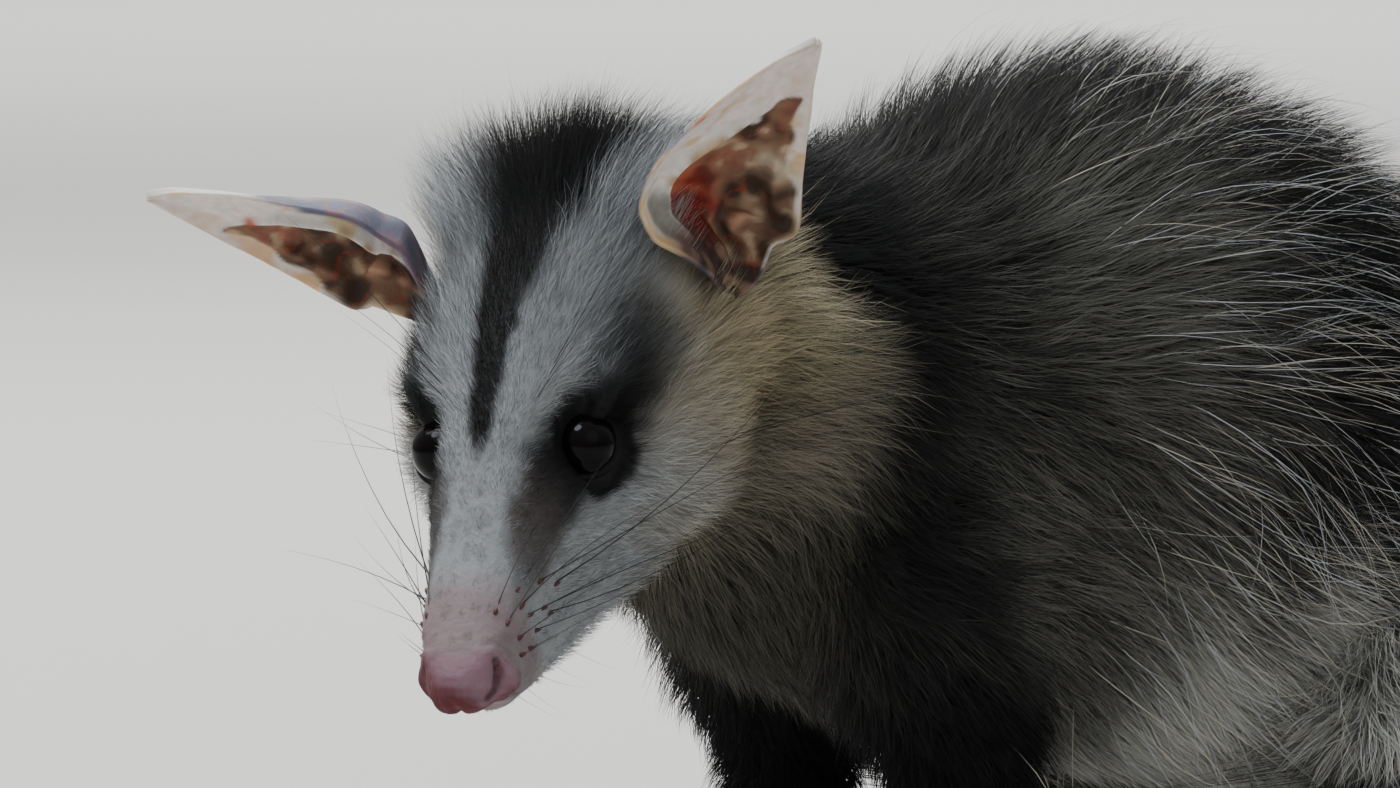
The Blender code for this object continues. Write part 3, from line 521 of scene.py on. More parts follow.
class FormBuilder:
    """Makes closed forms from sections and joins them in one skin."""

    def __init__(self) -> None:
        """Begin with nothing."""
        self.shape = bmesh.new()

    def loft(self, rings: Sequence[Array]) -> None:
        """Add a closed form through rings of points.

        Args:
            rings: The rings, with equal numbers of points.
        """
        loops = []
        for ring in rings:
            made = bmesh.ops.create_circle(self.shape, cap_ends=False, segments=len(ring), radius=1.0)
            for vert, point in zip(made["verts"], ring):
                vert.co = point
            loops.append(made["verts"])
        sides: List[List[bmesh.types.BMEdge]] = []
        for loop in loops:
            held = set(loop)
            sides.append([e for e in {e for v in loop for e in v.link_edges} if set(e.verts) <= held])
        for first, second in zip(sides, sides[1:]):
            bmesh.ops.bridge_loops(self.shape, edges=first + second)
        bmesh.ops.holes_fill(self.shape, edges=sides[0] + sides[-1], sides=0)

    def ball(self, middle: Row, sizes: Row, matrix: Optional[Matrix] = None) -> None:
        """Add an ellipsoid.

        Args:
            middle: Its middle.
            sizes: Its half sizes.
            matrix: A turn and move, or None.
        """
        made = bmesh.ops.create_icosphere(self.shape, subdivisions=4, radius=1.0)
        place = Matrix.Translation(middle) @ Matrix.Diagonal((*sizes, 1.0))
        place = (matrix or Matrix.Identity(4)) @ place
        bmesh.ops.transform(self.shape, matrix=place, verts=made["verts"])

    def head_form(self, stations: Sequence[Row], widest: float) -> None:
        """Add a form of the head from sections across the nose's axis.

        Args:
            stations: Place, half width, top and bottom of each section.
            widest: Height of the widest place.
        """
        c, s = circle(40)
        rings = []
        for along, half, top, bottom, _ in smooth_rows(stations, 4):
            y = half * rounded(c, HEAD_ROUND)
            z = widest + np.where(s > 0, top - widest, widest - bottom) * rounded(s, HEAD_ROUND)
            rings.append(HEAD.out(np.column_stack([np.full(len(y), along), y, z])))
        self.loft(rings)

    def tube(self, points: Array, sizes: Array, across: Optional[Row] = None, sides: int = 32) -> None:
        """Add a form round a line.

        Args:
            points: The line.
            sizes: Half width, rise and drop at each point.
            across: The direction of the width, or None for level.
            sides: Sides of each section.
        """
        c, s = circle(sides)
        rings = []
        for i, point in enumerate(points):
            ahead = unit(points[min(i + 1, len(points) - 1)] - points[max(i - 1, 0)])
            side = np.array(across) if across else np.cross((0, 0, 1), ahead)
            side = unit(side - ahead * (side @ ahead))
            up = np.cross(ahead, side)
            half, rise, drop = sizes[i]
            a = half * rounded(c, BODY_ROUND)
            b = np.where(s > 0, rise, drop) * rounded(s, BODY_ROUND)
            rings.append(point + np.outer(a, side) + np.outer(b, up))
        self.loft(rings)

    def toe(self, root: Array, angle: float, length: float, radius: float, flip: float) -> None:
        """Add one toe that lies on the floor.

        Args:
            root: Where it begins.
            angle: Its way in degrees, from straight ahead.
            length: Its length.
            radius: Its radius.
            flip: 1 on the left and -1 on the right.
        """
        way = np.array([-math.cos(math.radians(angle)), -flip * math.sin(math.radians(angle)), 0.0])
        points = np.array([root + way * length * share for share, _, _ in TOE_PROFILE])
        points[:, 2] = [height for _, height, _ in TOE_PROFILE]
        sizes = np.array([(radius * thick,) * 3 for _, _, thick in TOE_PROFILE])
        self.tube(points, sizes, sides=14)

    def take(self, name: str) -> bpy.types.Object:
        """The joined forms as an object.

        Args:
            name: Name of the object.

        Returns:
            The object.
        """
        mesh = bpy.data.meshes.new(name)
        self.shape.to_mesh(mesh)
        self.shape.free()
        return linked(name, mesh)


def applied(thing: bpy.types.Object) -> bpy.types.Object:
    """Apply an object's modifiers.

    Args:
        thing: The object.

    Returns:
        The same object, with its new mesh.
    """
    graph = bpy.context.evaluated_depsgraph_get()
    mesh = bpy.data.meshes.new_from_object(thing.evaluated_get(graph))
    old = thing.data
    thing.modifiers.clear()
    thing.data = mesh
    bpy.data.meshes.remove(old)
    return thing


@dataclass
class Anatomy:
    """Lines of the body, and what each place on the skin belongs to."""

    trunk: Line = field(init=False)
    tail: Line = field(init=False)
    limbs: List[Line] = field(init=False)

    def __post_init__(self) -> None:
        """Lay the lines of trunk, tail and limbs."""
        self.trunk = Line.through(TRUNK, 4)
        self.tail = Line.through(TAIL, 4)
        self.limbs = [Line.through(sided(rows, side, move), 3) for side in Side for rows, move in LIMBS]

    def skin(self) -> bpy.types.Object:
        """The joined skin, in millimetres.

        Returns:
            The skin as an object.
        """
        forms = FormBuilder()
        matrix = Matrix.Translation(HEAD_PLACE) @ Matrix([list(row) for row in HEAD.turn]).to_4x4()
        forms.head_form(SKULL, SKULL_WIDEST)
        forms.head_form(JAW, JAW_WIDEST)
        for middle, sizes in PADS:
            for side in Side:
                forms.ball((middle[0], middle[1] * side.value, middle[2]), sizes, matrix)
        rows = smooth_rows(TRUNK, 3)
        forms.tube(rows[:, :3], rows[:, 3:6], sides=48)
        rows = smooth_rows(TAIL, 4)
        forms.tube(rows[:, :3], np.repeat(rows[:, 3:4], 3, axis=1), sides=24)
        for side in Side:
            for stations, move in LIMBS:
                rows = smooth_rows(sided(stations, side, move), 3)
                forms.tube(rows[:, :3], rows[:, [3, 4, 4]], across=(0, 1, 0), sides=24)
            for (middle, sizes), move in FOOT_PADS:
                forms.ball(tuple(sided((middle,), side, move)[0]), sizes)
            for root, angle, length, radius, flip in toe_rows(side):
                forms.toe(root, angle, length, radius, flip)
        made = forms.take("skin")
        join = made.modifiers.new("join", "REMESH")
        join.mode = "VOXEL"
        join.voxel_size = SKIN_VOXEL
        soft = made.modifiers.new("soft", "SMOOTH")
        soft.iterations = 3
        soft.factor = 0.5
        return applied(made)


def toe_rows(side: Side) -> List[Tuple[Array, float, float, float, float]]:
    """Root, angle, length, radius and flip of each toe of one side.

    Args:
        side: The side.

    Returns:
        One row for each toe.
    """
    found = []
    for i, (angle, length, radius) in enumerate(TOES):
        root = np.array([PALM[0][0] - 4.0, PALM[0][1] + TOE_GAP * (2 - i), 0.0])
        found.append((root, angle, length, radius, FRONT_STEP))
    for i, (angle, length, radius) in enumerate(HIND_TOES):
        root = np.array([BALL[0][0] - 3.0, BALL[0][1] + HIND_TOE_GAP * (1.5 - i), 0.0])
        found.append((root, angle, length, radius, HIND_STEP))
    root = np.array([BALL[0][0] + 9.0, BALL[0][1] + 4.0, 0.0])
    found.append((root, *GREAT_TOE, HIND_STEP))
    made = []
    for root, angle, length, radius, move in found:
        if side is Side.RIGHT:
            root = root * np.array([1.0, -1.0, 1.0]) + np.array([move, 0.0, 0.0])
        made.append((root, angle, length, radius, float(side.value)))
    return made


BLACK = np.array([0.009, 0.009, 0.0095])
SOOT = np.array([0.016, 0.015, 0.015])
WHITE = np.array([0.50, 0.52, 0.53])
ASH = np.array([0.28, 0.30, 0.315])
CREAM = np.array([0.52, 0.465, 0.355])
CHEEK = np.array([0.56, 0.47, 0.29])
# cream of the ruff, made paler than the fur itself: painted light on the upper ruff, which lies in the
# shade of ear and head
RUFF_CREAM_AND_PAINTED_LIGHT = np.array([0.86, 0.79, 0.60])
WOOL = np.array([0.56, 0.555, 0.51])
GREY = np.array([0.185, 0.18, 0.155])
OLIVE = np.array([0.115, 0.112, 0.08])
STRAW = np.array([0.72, 0.67, 0.54])
ROSE = np.array([0.36, 0.225, 0.235])
# dark red of the nose pad, partly its own colour and partly painted shade on the faces that turn down
NOSE_RED_AND_SHADE = np.array([0.085, 0.012, 0.015])
# painted shade inside the nostrils
NOSTRIL_SHADE = np.array([0.035, 0.008, 0.010])
MUZZLE_TIP = np.array([0.255, 0.215, 0.21])
SNOUT_TIP = np.array([0.40, 0.365, 0.355])
BROWN = np.array([0.050, 0.040, 0.037])
DUSK = np.array([0.10, 0.075, 0.075])
TAIL_END = np.array([0.60, 0.45, 0.38])
CLAW_ROOT = np.array([0.42, 0.30, 0.24])
CLAW_TIP = np.array([0.72, 0.64, 0.52])
WHISKER = np.array([0.012, 0.010, 0.010])
FOLLICLE = np.array([0.075, 0.022, 0.024])
EAR: Dict[str, Array] = {
    name: np.array(color)
    for name, color in {
        "flesh": (0.66, 0.63, 0.58),
        "ochre": (0.56, 0.37, 0.15),
        "flush": (0.50, 0.24, 0.17),
        "dark": (0.055, 0.030, 0.020),
        "brown": (0.19, 0.105, 0.062),
        "cell": (0.42, 0.31, 0.20),
        "russet": (0.26, 0.10, 0.07),
        "slate": (0.075, 0.085, 0.13),
        "slate_root": (0.20, 0.12, 0.16),
        "slate_pale": (0.20, 0.13, 0.17),
        # painted shade for the hollow of the left ear
        "hollow_shade": (0.15, 0.145, 0.12),
        "rim": (0.62, 0.44, 0.19),
        "glow": (0.15, 0.014, 0.010),
        "glow_edge": (0.38, 0.10, 0.055),
        "knob": (0.50, 0.27, 0.17),
        "blot": (0.030, 0.018, 0.014),
        "pale": (0.48, 0.40, 0.28),
        "foot": (0.13, 0.055, 0.045),
        "lobe": (0.045, 0.032, 0.028),
        "lobe_pale": (0.22, 0.14, 0.10),
        "vein": (0.30, 0.04, 0.025),
        "vein_back": (0.45, 0.10, 0.06),
        "edge": (0.62, 0.46, 0.24),
        "sore": (0.45, 0.06, 0.02),
    }.items()
}

PAD_WHISKERS: Tuple[Row, ...] = (
    (93.4, 0.6, 0.0, 30.0, 0.22),
    (93.5, -1.4, 0.15, 24.0, 0.22),
    (86.5, 0.9, 0.05, 40.0, 0.26),
    (88.2, -1.8, 0.25, 42.0, 0.27),
    (81.5, -2.0, 0.30, 52.0, 0.30),
    (92.8, -5.0, 0.45, 26.0, 0.23),
    (87.0, -5.2, 0.55, 36.0, 0.26),
    (77.2, -6.0, 0.50, 66.0, 0.33),
    (82.2, -7.2, 0.65, 56.0, 0.31),
    (92.0, -8.6, 0.80, 18.0, 0.20),
    (86.4, -9.4, 0.85, 28.0, 0.24),
    (80.0, -10.6, 0.90, 44.0, 0.28),
    (95.0, -7.0, 0.85, 11.0, 0.17),
)
WHISKER_FIELDS: Tuple[Tuple[str, int, float, Row, Row], ...] = (
    ("brow", 3, 0.20, (57.0, 19.5, 24.0), (-3.4, 1.5, 8.0)),
    ("cheek", 3, 0.22, (39.0, -8.0, 30.0), (-4.0, -2.0, 7.0)),
    ("chin", 5, 0.13, (92.0, -20.0, 9.0), (-5.0, -0.6, 2.0)),
)
EYE_BAND: Tuple[Row, ...] = (
    (87.0, 9.0, -0.6, 2.4, 0.20),
    (80.5, 10.2, 2.2, 4.6, 0.62),
    (74.0, 10.9, 5.2, 6.2, 0.88),
    (67.0, 12.0, 8.6, 6.9, 0.97),
    (60.0, 14.0, 8.6, 7.4, 1.00),
    (55.0, 16.0, 8.6, 8.0, 1.00),
    (49.0, 18.0, 11.0, 6.8, 1.00),
    (42.0, 21.0, 12.4, 6.4, 0.82),
    (35.0, 22.0, 15.0, 6.2, 0.34),
    (28.0, 23.0, 17.0, 6.0, 0.04),
)
STRIPE: Tuple[Tuple[float, float], ...] = (
    (-40.0, 20.0),
    (-12.0, 13.5),
    (5.0, 10.5),
    (19.5, 8.2),
    (30.0, 6.0),
    (44.5, 3.9),
    (58.0, 2.7),
    (66.0, 1.4),
    (70.0, 0.2),
    (72.0, -2.0),
)


@dataclass
class SkinData:
    """What is known at each vertex of the skin, in millimetres."""

    points: Array
    normals: Array
    triangles: Array
    head: Array
    depth: Array = field(init=False)
    lie: Array = field(init=False)
    root_tint: Array = field(init=False)
    tip_tint: Array = field(init=False)
    skin_tint: Array = field(init=False)
    density: Array = field(init=False)
    coarse: Array = field(init=False)
    guard: Array = field(init=False)
    mixed: Array = field(init=False)
    puff: Array = field(init=False)
    face: Array = field(init=False)

    @classmethod
    def of(cls, thing: bpy.types.Object) -> "SkinData":
        """Read the mesh of an object.

        Args:
            thing: The object.

        Returns:
            Its points, normals and triangles.
        """
        mesh = thing.data
        mesh.calc_loop_triangles()
        points = read(mesh.vertices, "co")
        triangles = read(mesh.loop_triangles, "vertices", np.int32)
        return cls(points, read(mesh.vertices, "normal"), triangles, HEAD.into(points))


class Sculptor:
    """Lids, nostrils, lips and folds, as moves of the skin in the head's frame."""

    EYE_FINE, MOUTH_FINE, NOSE_FINE = 12.5, 3.6, 95.0
    HEAD_FINE = (-2.0, 46.0)
    FEET_FINE = (15.0, 100.0)

    def __init__(self) -> None:
        """Lay the lines of mouth and nostril."""
        self.mouth = Line.through(MOUTH, 5)
        self.slit = Line.through(NOSTRIL_SLIT, 4)

    def refine(self, thing: bpy.types.Object) -> None:
        """Make the mesh finer on the head and the feet, and finest round the eyes and mouth."""
        for level in (0, 1):
            shape = bmesh.new()
            shape.from_mesh(thing.data)
            shape.faces.ensure_lookup_table()
            middles = np.array([face.calc_center_median() for face in shape.faces])
            head = HEAD.into(middles)
            near = (head[:, 0] > self.HEAD_FINE[0]) & (np.hypot(head[:, 1], head[:, 2]) < self.HEAD_FINE[1])
            if level == 0:
                feet = (middles[:, 2] < self.FEET_FINE[0]) & (middles[:, 0] < self.FEET_FINE[1])
                chosen = near | feet
            else:
                mirror = mirrored(head)
                eye = distance(mirror, EYE_PLACE) < self.EYE_FINE
                mouth = self.mouth.nearest(mirror)[0] < self.MOUTH_FINE
                chosen = near & (eye | mouth | (head[:, 0] > self.NOSE_FINE))
            faces = [shape.faces[i] for i in np.nonzero(chosen)[0]]
            edges = list({edge for face in faces for edge in face.edges})
            bmesh.ops.subdivide_edges(shape, edges=edges, cuts=1, use_grid_fill=True, smooth=1.0)
            bmesh.ops.triangulate(shape, faces=[face for face in shape.faces if len(face.verts) > 4])
            shape.to_mesh(thing.data)
            shape.free()

    def carve(self, thing: bpy.types.Object) -> None:
        """Move the skin to its fine forms.

        Args:
            thing: The skin.
        """
        data = SkinData.of(thing)
        points = data.head.copy()
        ways = HEAD.way_into(data.normals)
        x, y, z = points.T
        near = (x > -10) & (np.hypot(y, z) < 50)
        mirror = mirrored(points)
        side = np.where(y >= 0, 1.0, -1.0)

        off = self.mouth.nearest(mirror)[0]
        lip = near & (off < 6)
        shift = np.zeros(len(points))
        shift[lip] += 0.55 * bell(off[lip], 1.7, 1.1) - 1.5 * bell(off[lip], 0.0, 0.55)
        slit, along, _, _ = self.slit.nearest(mirror)
        cleft = bell(y, 0.0, 0.6) * step(101.0, 104.0, x) * step(-7.0, -10.0, z)
        edge = bell(x - 101.9 - 0.10 * z - 0.05 * y**2, 0.0, 0.9)
        behind = bell(distance(mirror, (102.6, 6.8, -6.6), (1.0, 1.0, 1.25)), 5.6, 0.8)
        philtrum = bell(y, 0.0, 1.3) * step(102.0, 106.0, x)
        moves = [
            -0.5 * bell(distance(mirror, NOSTRIL, (1.1, 1.0, 1.7))),
            -(2.5 - 0.12 * along) * bell(slit, 0.0, 0.44),
            0.40 * bell(slit, 2.4, 1.1),
            -0.8 * cleft,
            -0.22 * edge * step(-9, -5, z),
            1.2 * bell(distance(mirror, (100.2, 8.0, -8.2), (2.2, 2.8, 3.6))),
            -0.55 * behind * step(101.5, 99.5, x) * step(4.0, 6.0, mirror[:, 1]),
            -0.55 * philtrum * step(-3.0, -8.0, z),
        ]
        wander = value_noise(mirror, 4.0, 43)
        for place, deep in SNOUT_CREASES:
            crease = bell(x - place - 0.03 * y**2 + 1.6 * wander, 0.0, 0.35)
            moves.append(-np.where(z > -6, deep * crease * (0.5 + wander), 0.0))
        pad_share = step(82.0, 88.0, x) * step(102.0, 98.0, x) * step(0.0, -4.0, z)
        moves.append(0.35 * value_noise(mirror, 2.2, 41) * pad_share)
        for move in moves:
            shift += np.where(near, move, 0.0)
        points += ways * shift[:, None]
        z += np.where(near, 1.8 * step(95.0, 103.0, x) * step(-7.0, -14.0, z), 0.0)

        points = self.open_eyes(points, near, side)
        points[:, 1] += np.where(near, nose_turn(points[:, 0]), 0.0)
        thing.data.vertices.foreach_set("co", HEAD.out(points).ravel())
        thing.data.update()

    @staticmethod
    def open_eyes(points: Array, near: Array, side: Array) -> Array:
        """Lay lids round both eyes, with an opening between them.

        Args:
            points: Places in the head's frame.
            near: Which of them are on the head.
            side: 1 on the left and -1 on the right.

        Returns:
            The places with the lids.
        """
        centre = np.array(EYE_PLACE)
        look = unit(np.array(EYE_LOOK))
        rest = np.column_stack([points[:, 0], points[:, 1] * side, points[:, 2]]) - centre
        reach = np.linalg.norm(rest, axis=1)
        turn = np.arccos(np.clip((rest @ look) / np.maximum(reach, 1e-6), -1, 1))
        around = near & (reach < 15) & (turn < 1.9)
        corner = np.array(EYE_CORNER)
        corner = unit(corner - look * (corner @ look))
        toward = (rest @ corner) / np.maximum(reach * np.sin(turn), 1e-6)
        opening = EYE_OPEN + 0.17 * np.clip(toward, 0, 1) ** 5 + 0.08 * np.clip(-toward, 0, 1) ** 4
        opening = opening - 0.15 * (1 - toward**2)
        open_share = step(opening + 0.06, opening - 0.09, turn)
        lid = LID_RADIUS + 0.22 * bell(turn - opening, 0.10, 0.09)
        pull = step(opening + 0.85, opening + 0.10, turn)
        wrapped = np.maximum(mix_plain(reach, lid, pull), lid)
        fold = 0.30 * bell(turn - opening, 0.28, 0.06) * step(9.5, 7.5, reach)
        wrapped = np.maximum(wrapped - fold, LID_RADIUS)
        target = mix_plain(wrapped, EYE_RADIUS - 1.0, open_share)
        far = step(15.0, 12.0, reach) * step(1.9, 1.5, turn)
        new = reach + (target - reach) * far
        scale = np.where(around, new / np.maximum(reach, 1e-6), 1.0)
        moved = rest * scale[:, None] + centre
        moved[:, 1] *= side
        return np.where(around[:, None], moved, points)


@dataclass
class Tints:
    """Colours of the roots and tips of the hair at each place."""

    roots: Array
    tips: Array

    def lay(
        self, root: Array, tip: Array, share: Array, root_part: float = 1.0, tip_part: float = 1.0
    ) -> None:
        """Blend other colours in.

        Args:
            root: Colour of the roots.
            tip: Colour of the tips.
            share: Share of the new colours at each place.
            root_part: Part of that share for the roots.
            tip_part: Part of that share for the tips.
        """
        self.roots = mix(self.roots, root, share * root_part)
        self.tips = mix(self.tips, tip, share * tip_part)


class Pelage:
    """Depth, lie and colour of the coat at every place of the skin."""

    def __init__(self, anatomy: Anatomy) -> None:
        """Remember the body's lines."""
        self.anatomy = anatomy

    def describe(self, data: SkinData) -> SkinData:
        """Fill in what the coat and the skin look like.

        Args:
            data: The skin's points, normals and triangles.

        Returns:
            The same data with all its fields.
        """
        points, normals, head = data.points, data.normals, data.head.copy()
        head[:, 1] -= nose_turn(head[:, 0])
        x, _, high = points.T
        hx, hy, hz = head.T
        aside = np.abs(hy)
        mirror = mirrored(head)
        upward = normals[:, 2]
        count = len(points)
        _, _, values, back = self.anatomy.trunk.nearest(points)
        down = unit(normals * normals[:, 2:3] - np.array([0.0, 0.0, 1.0]))
        lie = back + down * (0.65 * (1 - np.abs(upward)))[:, None]
        depth = values[:, 3] * (0.80 + 0.20 * step(0.1, 0.7, upward))

        ragged = value_noise(points, 9.0, 19) * 12.0
        on_head = step(-18.0, 6.0, hx + ragged) * step(54.0, 40.0, np.hypot(hy, hz - 3))
        head_ways = HEAD.way_into(normals)
        sideways = step(0.25, 0.8, np.abs(head_ways[:, 1]))
        crown = bell(hx, 4, 17) * step(0.2, 0.85, head_ways[:, 2])
        sides = step(72.0, 46.0, hx) * sideways
        rear_cheek = step(34.0, 12.0, hx) * sideways * step(16.0, 4.0, hz)
        skull = np.array(SKULL)
        head_coat = np.interp(hx, skull[::-1, 0], skull[::-1, 4])
        head_coat *= 1.0 + 0.85 * crown + (0.35 * sides + 0.75 * rear_cheek) * (1 - crown)
        head_coat += 3.4 * step(92.0, 70.0, hx) * step(-0.2, -0.8, head_ways[:, 2])
        spread = np.column_stack([
            np.full(count, -1.0),
            (0.35 + 0.6 * crown) * np.sign(hy) * step(60, 20, hx) * step(2.0, 12.0, aside),
            np.where(hz > 4, 0.30, -0.45) * step(80, 40, hx),
        ])
        from_eye = mirror - np.array(EYE_PLACE)
        from_eye[:, 1] *= np.where(hy >= 0, 1.0, -1.0)
        eye_off = np.linalg.norm(from_eye, axis=1)
        lateral = step(1.0, 5.0, aside - EYE_PLACE[1]) * step(4.0, -3.0, hx - EYE_PLACE[0])
        head_coat *= mix_plain(0.30 + 0.70 * step(6.5, 13.0, eye_off), 1.0, 0.75 * lateral)
        spread += unit(from_eye) * (1.3 * step(10.0, 6.5, eye_off))[:, None]
        combed = spot((hx, 20, 11.0), (aside, 18, 7.0)) * step(12.0, 20.0, hz)
        spread[:, 1] += 0.15 * combed * np.sign(hy)
        spread[:, 2] += 0.8 * combed
        lie = mix(lie, HEAD.way_out(spread), on_head)
        depth = mix_plain(depth, head_coat, on_head)

        leg = np.zeros(count)
        for i, limb in enumerate(self.anatomy.limbs):
            off, _, sizes, way = limb.nearest(points)
            ratio = off / np.maximum((sizes[:, 0] + sizes[:, 1]) / 2, 1.0)
            top = (96.0, 64.0) if i % len(LIMBS) == 0 else (66.0, 44.0)
            share = step(1.75, 1.30, ratio) * step(*top, high) * (1 - on_head)
            lie = mix(lie, way + np.array([0.25, 0, 0]), share)
            depth = mix_plain(depth, sizes[:, 2], share)
            leg = np.maximum(leg, share)
        paw = step(17.0, 11.0, high) * step(108.0, 96.0, x)
        depth = mix_plain(depth, 0.8, paw)
        lie = mix(lie, np.array([-1.0, 0, 0.1]), paw)
        off, reach, sizes, way = self.anatomy.tail.nearest(points)
        tail = step(1.9, 1.4, off / np.maximum(sizes[:, 0], 1.0)) * step(6.0, 22.0, reach)
        lie = mix(lie, way, tail)
        depth = mix_plain(depth, np.maximum(sizes[:, 1], 0.5), tail)
        lie = unit(lie - normals * np.sum(lie * normals, axis=1, keepdims=True))
        swirl = value_noise(points, 19.0, 31) * 1.5 + value_noise(points, 7.0, 32) * 1.1
        swirl *= 0.9 * (1 - on_head) * (1 - paw) * (1 - tail) * (1 - 0.5 * leg) + 0.50 * on_head
        data.lie = lie * np.cos(swirl)[:, None] + np.cross(normals, lie) * np.sin(swirl)[:, None]

        patch = value_noise(points, 14.0, 3)
        fine = value_noise(points, 5.0, 5)
        flank_x = x + patch * 16 + fine * 8
        top_share = step(0.35, 0.85, upward)
        low_wool = step(102.0, 76.0, high + patch * 26 + fine * 10) * step(-22.0, 8.0, flank_x)
        rear = step(2.0, 30.0, flank_x) * (1 - low_wool)
        upper = step(92.0, 138.0, high) * (1 - 0.6 * rear)
        shade = (1 + 0.5 * patch + 0.3 * fine) * (1 - 0.74 * rear) * (1 - 0.42 * upper)
        base = mix(GREY, WOOL, low_wool) * shade[:, None]
        streak = step(-44.0, -32.0, flank_x) * step(12.0, -6.0, flank_x) * step(108.0, 132.0, high)
        streak = streak * (1 - 0.85 * step(0.60, 0.92, upward))
        coat = Tints(base * 0.75, base * 1.15 * (1 + 0.40 * streak)[:, None])
        mixed = mix_plain(0.40, 0.05, low_wool) + 0.50 * step(146.0, 170.0, high + patch * 24)
        mixed += 0.52 * rear + 0.16 * upper
        mixed = mixed * (1 - 0.72 * streak)
        mixed = np.maximum(mixed, bell(points[:, 1], 0.0, 21.0) * top_share * 0.95)
        band = step(-92.0, -81.0, flank_x + 10 * top_share)
        band = band * step(-36.0, -62.0, flank_x + 8 * fine + 0.20 * (high - 90))
        band = band * (1 - 0.6 * step(0.15, -0.5, upward))
        coat.lay(SOOT * 1.4, BLACK * 1.9, band, root_part=0.93)
        mixed = np.maximum(mixed, 0.9 * band)
        front = step(-81.0, -92.0, flank_x + 24 * top_share)
        # the upper ruff takes the brightened cream, partly its cream fur and partly painted light; lower
        # down it turns to cream and olive
        ruff = mix(RUFF_CREAM_AND_PAINTED_LIGHT, mix_plain(CREAM, OLIVE, 0.40), step(142.0, 100.0, high + patch * 20))
        coat.lay(ruff * 0.85, ruff * 1.08, front)
        mixed = mixed * (1 - front)
        chest = step(136.0, 106.0, high + patch * 20) * step(-66.0, -82.0, x) * (1 - leg)
        coat.lay(OLIVE * 0.6, OLIVE * 0.8, chest * 0.93)
        mixed = mix_plain(mixed, 0.22, chest)
        nape = np.exp(-((aside / 17.0) ** 4)) * step(12.0, -6.0, hx) * step(0.0, 20.0, hz)
        coat.lay(SOOT, BLACK, nape)
        mixed = np.maximum(mixed, nape)
        coat.lay(SOOT, BLACK * 1.2, leg * step(0.0, 0.6, leg))
        coat.lay(SOOT, BLACK * 1.5, tail)

        face_root, face_tip, face_skin = self.face_tints(head, mirror, normals)
        coat.lay(face_root, face_tip, on_head)
        skin = mix(coat.roots * 0.55 + 0.01, face_skin, on_head)
        feet_off = np.minimum(np.abs(x + 88), np.abs(x - 22))
        skin = mix(skin, mix(DUSK, ROSE * 0.75, step(22.0, 6.0, feet_off)), paw)
        tail_skin = mix(BLACK * 2.2, TAIL_END, step(150.0, 182.0, reach + 12 * patch))
        data.skin_tint = mix(skin, tail_skin, tail)

        ear_near, under_ear = np.zeros(count), np.zeros(count)
        for side in Side:
            root, axis, across = (np.array(row) for row in EARS[side.label])
            ear_near = np.maximum(ear_near, bell(distance(head, root, (17.0, 14.0, 15.0))))
            mouth = unit(np.cross(across, axis)) * side.value
            ear_off = head - root - 4.0 * mouth
            cup = step(1.0, 0.6, distance(ear_off, (0.0, 0.0, 0.0), (14.0, 12.0, 13.0)))
            under_ear = np.maximum(under_ear, cup * step(-10.0, -7.0, ear_off @ mouth))
        tuft = spot((aside, 17, 7.0), (hx, 8, 14.0)) * step(14.0, 24.0, hz)
        medial = step(27.0, 19.0, aside) * step(27.0, 15.0, hx)
        depth = depth * (1 - 0.45 * ear_near * (1 - medial) * on_head)
        depth = depth + (5.0 * ear_near * medial + 4.0 * tuft) * on_head
        low_rump = step(52.0, 84.0, x) * top_share
        data.depth = depth * (1 - 0.25 * low_rump)
        face_mixed = self.face_mixed(mirror) * (1 - 0.8 * ear_near)
        data.mixed = np.clip(mix_plain(mixed, face_mixed, on_head), 0, 1)
        temple = step(20.0, 30.0, hx) * step(56.0, 46.0, hx)
        temple = temple * step(0.5, 0.9, np.abs(head_ways[:, 1])) * step(0.0, 8.0, hz)
        raised = 0.45 * crown + 0.30 * tuft + 0.35 * ear_near * medial + 0.35 * temple
        data.puff = raised * on_head + 0.25 * top_share * (1 - on_head)
        data.root_tint = coat.roots
        data.tip_tint = coat.tips * (1 + 0.50 * tuft * on_head)[:, None]
        naked = [
            step(99.8, 102.6, hx + 0.10 * hz) * on_head,
            step(6.95, 6.6, eye_off) * on_head,
            tail * step(20.0, 60.0, reach),
            paw * step(0.5, -0.4, upward),
            0.93 * under_ear,
        ]
        data.density = 1.0 - np.maximum.reduce(naked)
        data.coarse = (1 - on_head) * (1 - paw) * (1 - tail)
        data.face = on_head
        data.guard = step(-34.0, 12.0, x) * step(46.0, 80.0, high) * (1 - leg) + 0.003
        return data

    @staticmethod
    def stripe_half(along: Array) -> Array:
        """Half the breadth of the dark stripe on the crown."""
        return np.interp(along, *np.array(STRIPE).T)

    def face_mixed(self, mirror: Array) -> Array:
        """Share of dark hairs among the pale ones on the head.

        Args:
            mirror: Places, moved to the left side.

        Returns:
            The share at each place.
        """
        x, y, z = mirror.T
        beside = bell(y, self.stripe_half(x), 5.6) * step(70.0, 58.0, x) * step(2.0, 10.0, z)
        smudge = spot((x, 35, 13), (z, 18, 10)) * step(9, 17, y)
        brow = spot((x, 52, 9), (y, 8, 5))
        share = 0.20 + 0.52 * beside + 0.55 * smudge - 0.12 * brow - 0.10 * step(60.0, 74.0, x)
        return np.clip(share, 0, 1)

